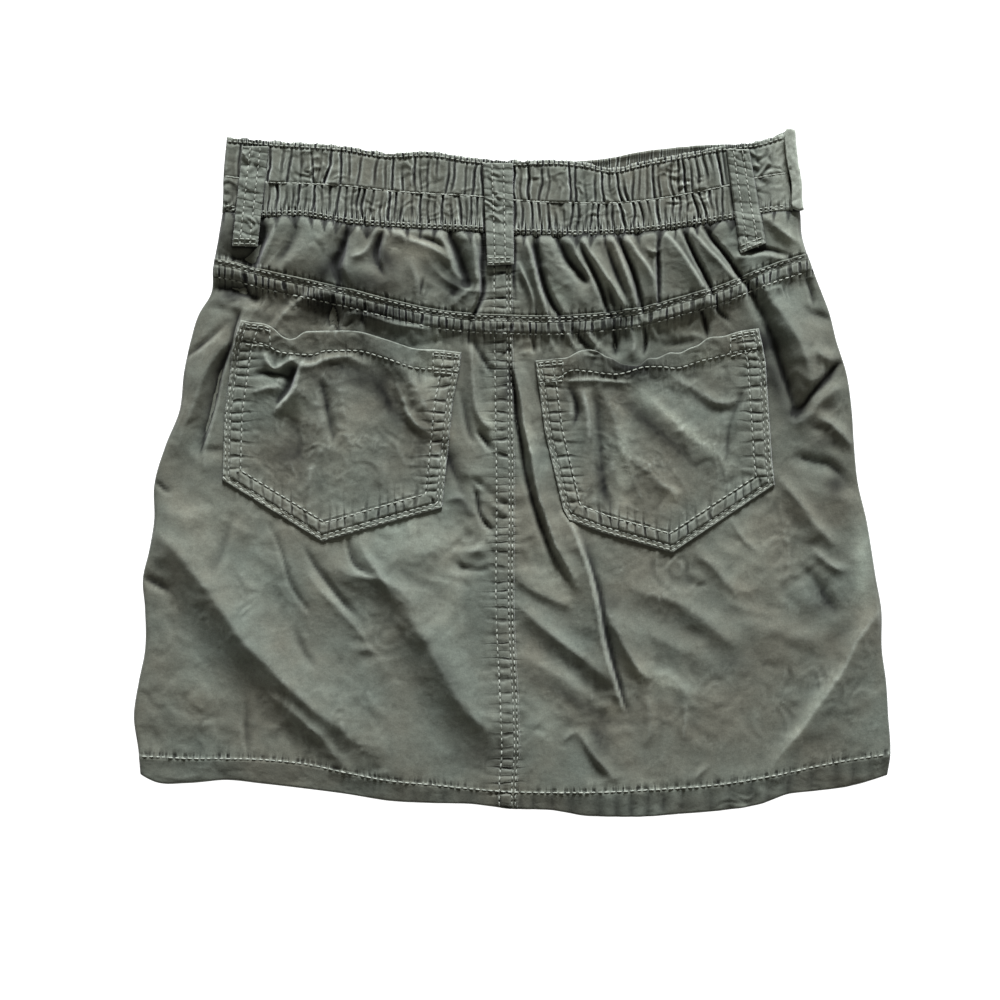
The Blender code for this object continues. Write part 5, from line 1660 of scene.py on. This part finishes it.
# The pale of rubbed cloth with its painted highlights, and the painted highlight on pucker lips.
PALE_WEAR_AND_HIGHLIGHT = (0.27, 0.29, 0.25)
LOOP_CLOTH = (0.158, 0.174, 0.145)
LIP_HIGHLIGHT = (0.37, 0.40, 0.35)
DARK_THREAD = (0.22, 0.24, 0.20)
PALE_THREAD = (0.41, 0.43, 0.37)


def new_material(name):
    material = bpy.data.materials.new(name)
    material.use_nodes = True
    return material, material.node_tree, material.node_tree.nodes["Principled BSDF"]


def add_node(tree, kind, **settings):
    node = tree.nodes.new(kind)
    for key, value in settings.items():
        setattr(node, key, value)
    return node


def set_inputs(node, values):
    for key, value in values.items():
        node.inputs[key].default_value = value


def attribute(tree, name):
    return add_node(tree, "ShaderNodeAttribute", attribute_name=name).outputs["Fac"]


def noise(tree, coords, scale, detail=3.0, roughness=0.55, **settings):
    node = add_node(tree, "ShaderNodeTexNoise", **settings)
    set_inputs(node, {"Scale": scale, "Detail": detail, "Roughness": roughness})
    tree.links.new(coords, node.inputs["Vector"])
    return node.outputs["Fac"]


def remap(tree, value, low, high, to_low, to_high):
    node = add_node(tree, "ShaderNodeMapRange")
    set_inputs(node, {"From Min": low, "From Max": high, "To Min": to_low, "To Max": to_high})
    tree.links.new(value, node.inputs["Value"])
    return node.outputs["Result"]


def bump(tree, height, strength, distance, below=None):
    """A relief of its own height, on top of the one below it."""
    node = add_node(tree, "ShaderNodeBump")
    set_inputs(node, {"Strength": strength, "Distance": distance})
    tree.links.new(height, node.inputs["Height"])
    if below:
        tree.links.new(below, node.inputs["Normal"])
    return node.outputs["Normal"]


def mixed(tree, factor, first, second, blend="MIX"):
    """Two colours mixed; each is a socket or a colour, and the factor a socket or a number."""
    node = add_node(tree, "ShaderNodeMix", data_type="RGBA", blend_type=blend)
    for socket, value in (("Factor", factor), ("A", first), ("B", second)):
        plug = next(s for s in node.inputs if s.name == socket and s.enabled)
        if isinstance(value, bpy.types.NodeSocket):
            tree.links.new(value, plug)
        else:
            plug.default_value = (*value, 1) if isinstance(value, tuple) else value
    return next(s for s in node.outputs if s.enabled)


def darkened(tree, colour, value):
    """A colour times a value, which also makes it paler where the value is above 1."""
    return mixed(tree, 1.0, colour, value, "MULTIPLY")


def calculated(tree, operation, first, second=0.0):
    node = add_node(tree, "ShaderNodeMath", operation=operation)
    for i, value in enumerate((first, second)):
        if isinstance(value, bpy.types.NodeSocket):
            tree.links.new(value, node.inputs[i])
        else:
            node.inputs[i].default_value = value
    return node.outputs[0]


def pucker_gaps(tree, coords, name):
    """The narrow gaps of one set of puckers, painted dark as shade, and the lips beside them, painted pale
    as highlights, each from 0 to 1.
    """
    wander = remap(tree, noise(tree, coords, 170, 2.0), 0.3, 0.7, -0.07, 0.07)
    cell = calculated(tree, "ADD", attribute(tree, name + "_cell"), wander)
    nearest = calculated(tree, "ROUND", cell)
    away = calculated(tree, "ABSOLUTE", calculated(tree, "SUBTRACT", cell, nearest))
    dice = add_node(tree, "ShaderNodeTexWhiteNoise", noise_dimensions="1D")
    tree.links.new(nearest, dice.inputs["W"])
    strength = calculated(tree, "POWER", remap(tree, dice.outputs["Value"], 0.0, 1.0, 0.45, 1.2), 1.5)
    patches = remap(tree, noise(tree, coords, 120, 2.0), 0.38, 0.6, 0.35, 1.0)
    strength = calculated(tree, "MULTIPLY", strength, patches)
    strength = calculated(tree, "MULTIPLY", strength, attribute(tree, name + "_depth"))
    gap = calculated(tree, "MULTIPLY", remap(tree, away, 0.03, 0.15, 1.0, 0.0), strength)
    from_lip = calculated(tree, "ABSOLUTE", calculated(tree, "SUBTRACT", away, 0.18))
    lip = calculated(tree, "MULTIPLY", remap(tree, from_lip, 0.0, 0.07, 1.0, 0.0), strength)
    return remap(tree, gap, 0.0, 1.0, 0.0, 1.0), remap(tree, lip, 0.0, 0.5, 0.0, 1.0)


def plain_weave(tree, coords):
    """The height of threads that cross."""
    waves = []
    for direction in ("X", "Y"):
        wave = add_node(tree, "ShaderNodeTexWave", bands_direction=direction)
        set_inputs(wave, {"Scale": 720, "Distortion": 1.2, "Detail": 1.0})
        tree.links.new(coords, wave.inputs["Vector"])
        waves.append(wave.outputs["Fac"])
    return calculated(tree, "ADD", *waves)


def washed_cotton(name, green, brown, wear_and_highlight_gain, mottle, lip_highlight_gain=0.35):
    """Olive poplin: mottled by washing, rubbed pale, with painted highlights, painted shade and a fine plain
    weave.
    """
    material, tree, shader = new_material(name)
    coords = add_node(tree, "ShaderNodeTexCoord").outputs["Object"]
    blotches = remap(tree, noise(tree, coords, 22, 3.0), 0.36, 0.64, 0, 1)
    colour = mixed(tree, blotches, green, brown)
    clouds = remap(tree, noise(tree, coords, 150, 4.0, 0.6), 0.3, 0.7, 0.90, 1.10)
    specks = remap(tree, noise(tree, coords, 520, 3.0, 0.65), 0.34, 0.66, 1 - mottle, 1 + mottle)
    colour = darkened(tree, darkened(tree, colour, clouds), specks)
    patchy = remap(tree, noise(tree, coords, 420, 3.0, 0.7), 0.35, 0.65, 0.35, 1.0)
    # Rubbed paleness together with painted highlights.
    worn_and_highlit = remap(tree, attribute(tree, "wear_and_highlight"), 0.08, 1.0, 0.0, wear_and_highlight_gain)
    colour = mixed(tree, calculated(tree, "MULTIPLY", worn_and_highlit, patchy), colour, PALE_WEAR_AND_HIGHLIGHT)
    # Painted shade in hollows and under things, and painted light where the value is below 0.
    colour = darkened(tree, colour, remap(tree, attribute(tree, "painted_shade_and_light"), -1.0, 1.0, 1.96, 0.08))
    across_gap, across_lip = pucker_gaps(tree, coords, "across")
    down_gap, down_lip = pucker_gaps(tree, coords, "down")
    lips = calculated(tree, "MAXIMUM", across_lip, down_lip)
    # Painted highlights on the pucker lips.
    colour = mixed(tree, calculated(tree, "MULTIPLY", lips, lip_highlight_gain), colour, LIP_HIGHLIGHT)
    gaps = calculated(tree, "MAXIMUM", across_gap, down_gap)
    # Painted shade in the gaps between puckers.
    colour = darkened(tree, colour, remap(tree, gaps, 0.0, 1.0, 1.0, 0.06))
    threads = remap(tree, noise(tree, coords, 1700, 2.0, 0.75), 0.3, 0.7, 0.86, 1.14)
    tree.links.new(darkened(tree, colour, threads), shader.inputs["Base Color"])

    relief = bump(tree, plain_weave(tree, coords), 0.35, 0.06 * MM)
    relief = bump(tree, noise(tree, coords, 330, 4.0, 0.6), 0.4, 0.5 * MM, relief)
    facets = noise(tree, coords, 85, 3.0, 0.5, noise_type="RIDGED_MULTIFRACTAL")
    relief = bump(tree, facets, 0.55, 1.3 * MM, relief)
    relief = bump(tree, calculated(tree, "SUBTRACT", 1.0, gaps), 0.8, 0.6 * MM, relief)
    tree.links.new(relief, shader.inputs["Normal"])
    set_inputs(shader, {"Roughness": 0.88, "Sheen Weight": 0.18, "Sheen Roughness": 0.45})
    set_inputs(shader, {"Specular IOR Level": 0.25})
    return material


def sewing_thread(name):
    """Pale sage thread with a fine twist."""
    material, tree, shader = new_material(name)
    coords = add_node(tree, "ShaderNodeTexCoord").outputs["Object"]
    shade = remap(tree, noise(tree, coords, 300, 2.0), 0.3, 0.7, 0.0, 1.0)
    tree.links.new(mixed(tree, shade, DARK_THREAD, PALE_THREAD), shader.inputs["Base Color"])
    tree.links.new(bump(tree, noise(tree, coords, 2500, 1.0), 0.4, 0.1 * MM), shader.inputs["Normal"])
    set_inputs(shader, {"Roughness": 0.7, "Sheen Weight": 0.2})
    return material


# --- Stage ----------------------------------------------------------------------------------------

# The window stands low, nearly straight beyond the waist.
LOW_LIGHT = radians(20)
LIGHT_TURN = radians(8)

# In metres.
FLOOR_REACH = 4.0
CAMERA_PLACE = (-0.006, -0.01248, 1.2)

# How wide the picture is at the cloth, and how far below the camera the cloth is.
PICTURE_WIDTH = 480
CLOTH_BELOW_CAMERA = 1195
LENS_SENSOR = 36


def make_stage():
    """A white floor that shines a little, so that it stays white round the cloth."""
    bm = bmesh.new()
    bmesh.ops.create_grid(bm, x_segments=1, y_segments=1, size=FLOOR_REACH)
    floor = linked("floor", finished_mesh(bm, "floor"))
    material, _, shader = new_material("white_floor")
    set_inputs(shader, {"Base Color": (0.5, 0.5, 0.5, 1), "Roughness": 0.9})
    set_inputs(shader, {"Emission Color": (1, 1, 1, 1), "Emission Strength": 1.1})
    floor.data.materials.append(material)


def make_lights():
    """A low window beyond the waist, and the pale room round it."""
    world = bpy.data.worlds.new("room")
    world.use_nodes = True
    set_inputs(world.node_tree.nodes["Background"], {"Color": (1.0, 0.98, 0.88, 1), "Strength": 0.2})
    bpy.context.scene.world = world
    key = bpy.data.lights.new("window", "SUN")
    key.energy = 7.7
    key.angle = radians(18)
    key.color = (0.97, 1.0, 1.04)
    lamp = linked("window", key)
    level = cos(LOW_LIGHT)
    toward = Vector((sin(LIGHT_TURN) * level, cos(LIGHT_TURN) * level, sin(LOW_LIGHT)))
    lamp.rotation_mode = "QUATERNION"
    lamp.rotation_quaternion = toward.to_track_quat("Z", "Y")


def make_camera():
    """Straight above the skirt, with a lens that makes the picture as wide as it should be at the cloth."""
    data = bpy.data.cameras.new("camera")
    data.sensor_width = LENS_SENSOR
    data.lens = LENS_SENSOR * CLOTH_BELOW_CAMERA / PICTURE_WIDTH
    data.clip_start = 0.01
    camera = linked("camera", data)
    camera.location = CAMERA_PLACE
    scene = bpy.context.scene
    scene.camera = camera
    scene.view_settings.view_transform = "Standard"


# The flat cut of what shows of a piece: its box, its area and how it is held. No piece is given one here.
SheetCut = namedtuple("SheetCut", "width length area held")


# --- The whole skirt ------------------------------------------------------------------------------


def main():
    make_camera()
    make_lights()
    make_stage()
    panel_cotton = washed_cotton("faded_cotton_panels_painted_light", GREEN_CLOTH, BROWN_CLOTH, 0.55, 0.07)
    pocket_cotton = washed_cotton("worn_trim_pockets_painted_light", GREEN_CLOTH, BROWN_CLOTH, 0.9, 0.10)
    loop_cotton = washed_cotton("worn_trim_loops_painted_light", LOOP_CLOTH, LOOP_CLOTH, 0.9, 0.16)
    band_cotton = washed_cotton("faded_cotton_band_painted_light", GREEN_CLOTH, BROWN_CLOTH, 0.7, 0.10, lip_highlight_gain=1.0)
    cottons = dict.fromkeys(POCKETS, pocket_cotton)
    cottons |= dict.fromkeys(BELT_LOOPS, loop_cotton)
    cottons |= dict.fromkeys(("back_waistband", "front_waistband"), band_cotton)
    thread = sewing_thread("sage_thread")

    made = {}
    for make in (make_front_panel, make_front_waistband, make_panels, make_yokes, make_back_waistband,
                 make_pockets, make_belt_loops):
        made.update(make())
    for node, piece in made.items():
        piece.data.materials.append(cottons.get(node, panel_cotton))
        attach(piece, "root")
        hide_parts(node)
    for piece in make_seam_stitches() + make_pocket_stitches() + make_loop_stitches():
        piece.data.materials.append(thread)
        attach(piece, "root")


main()
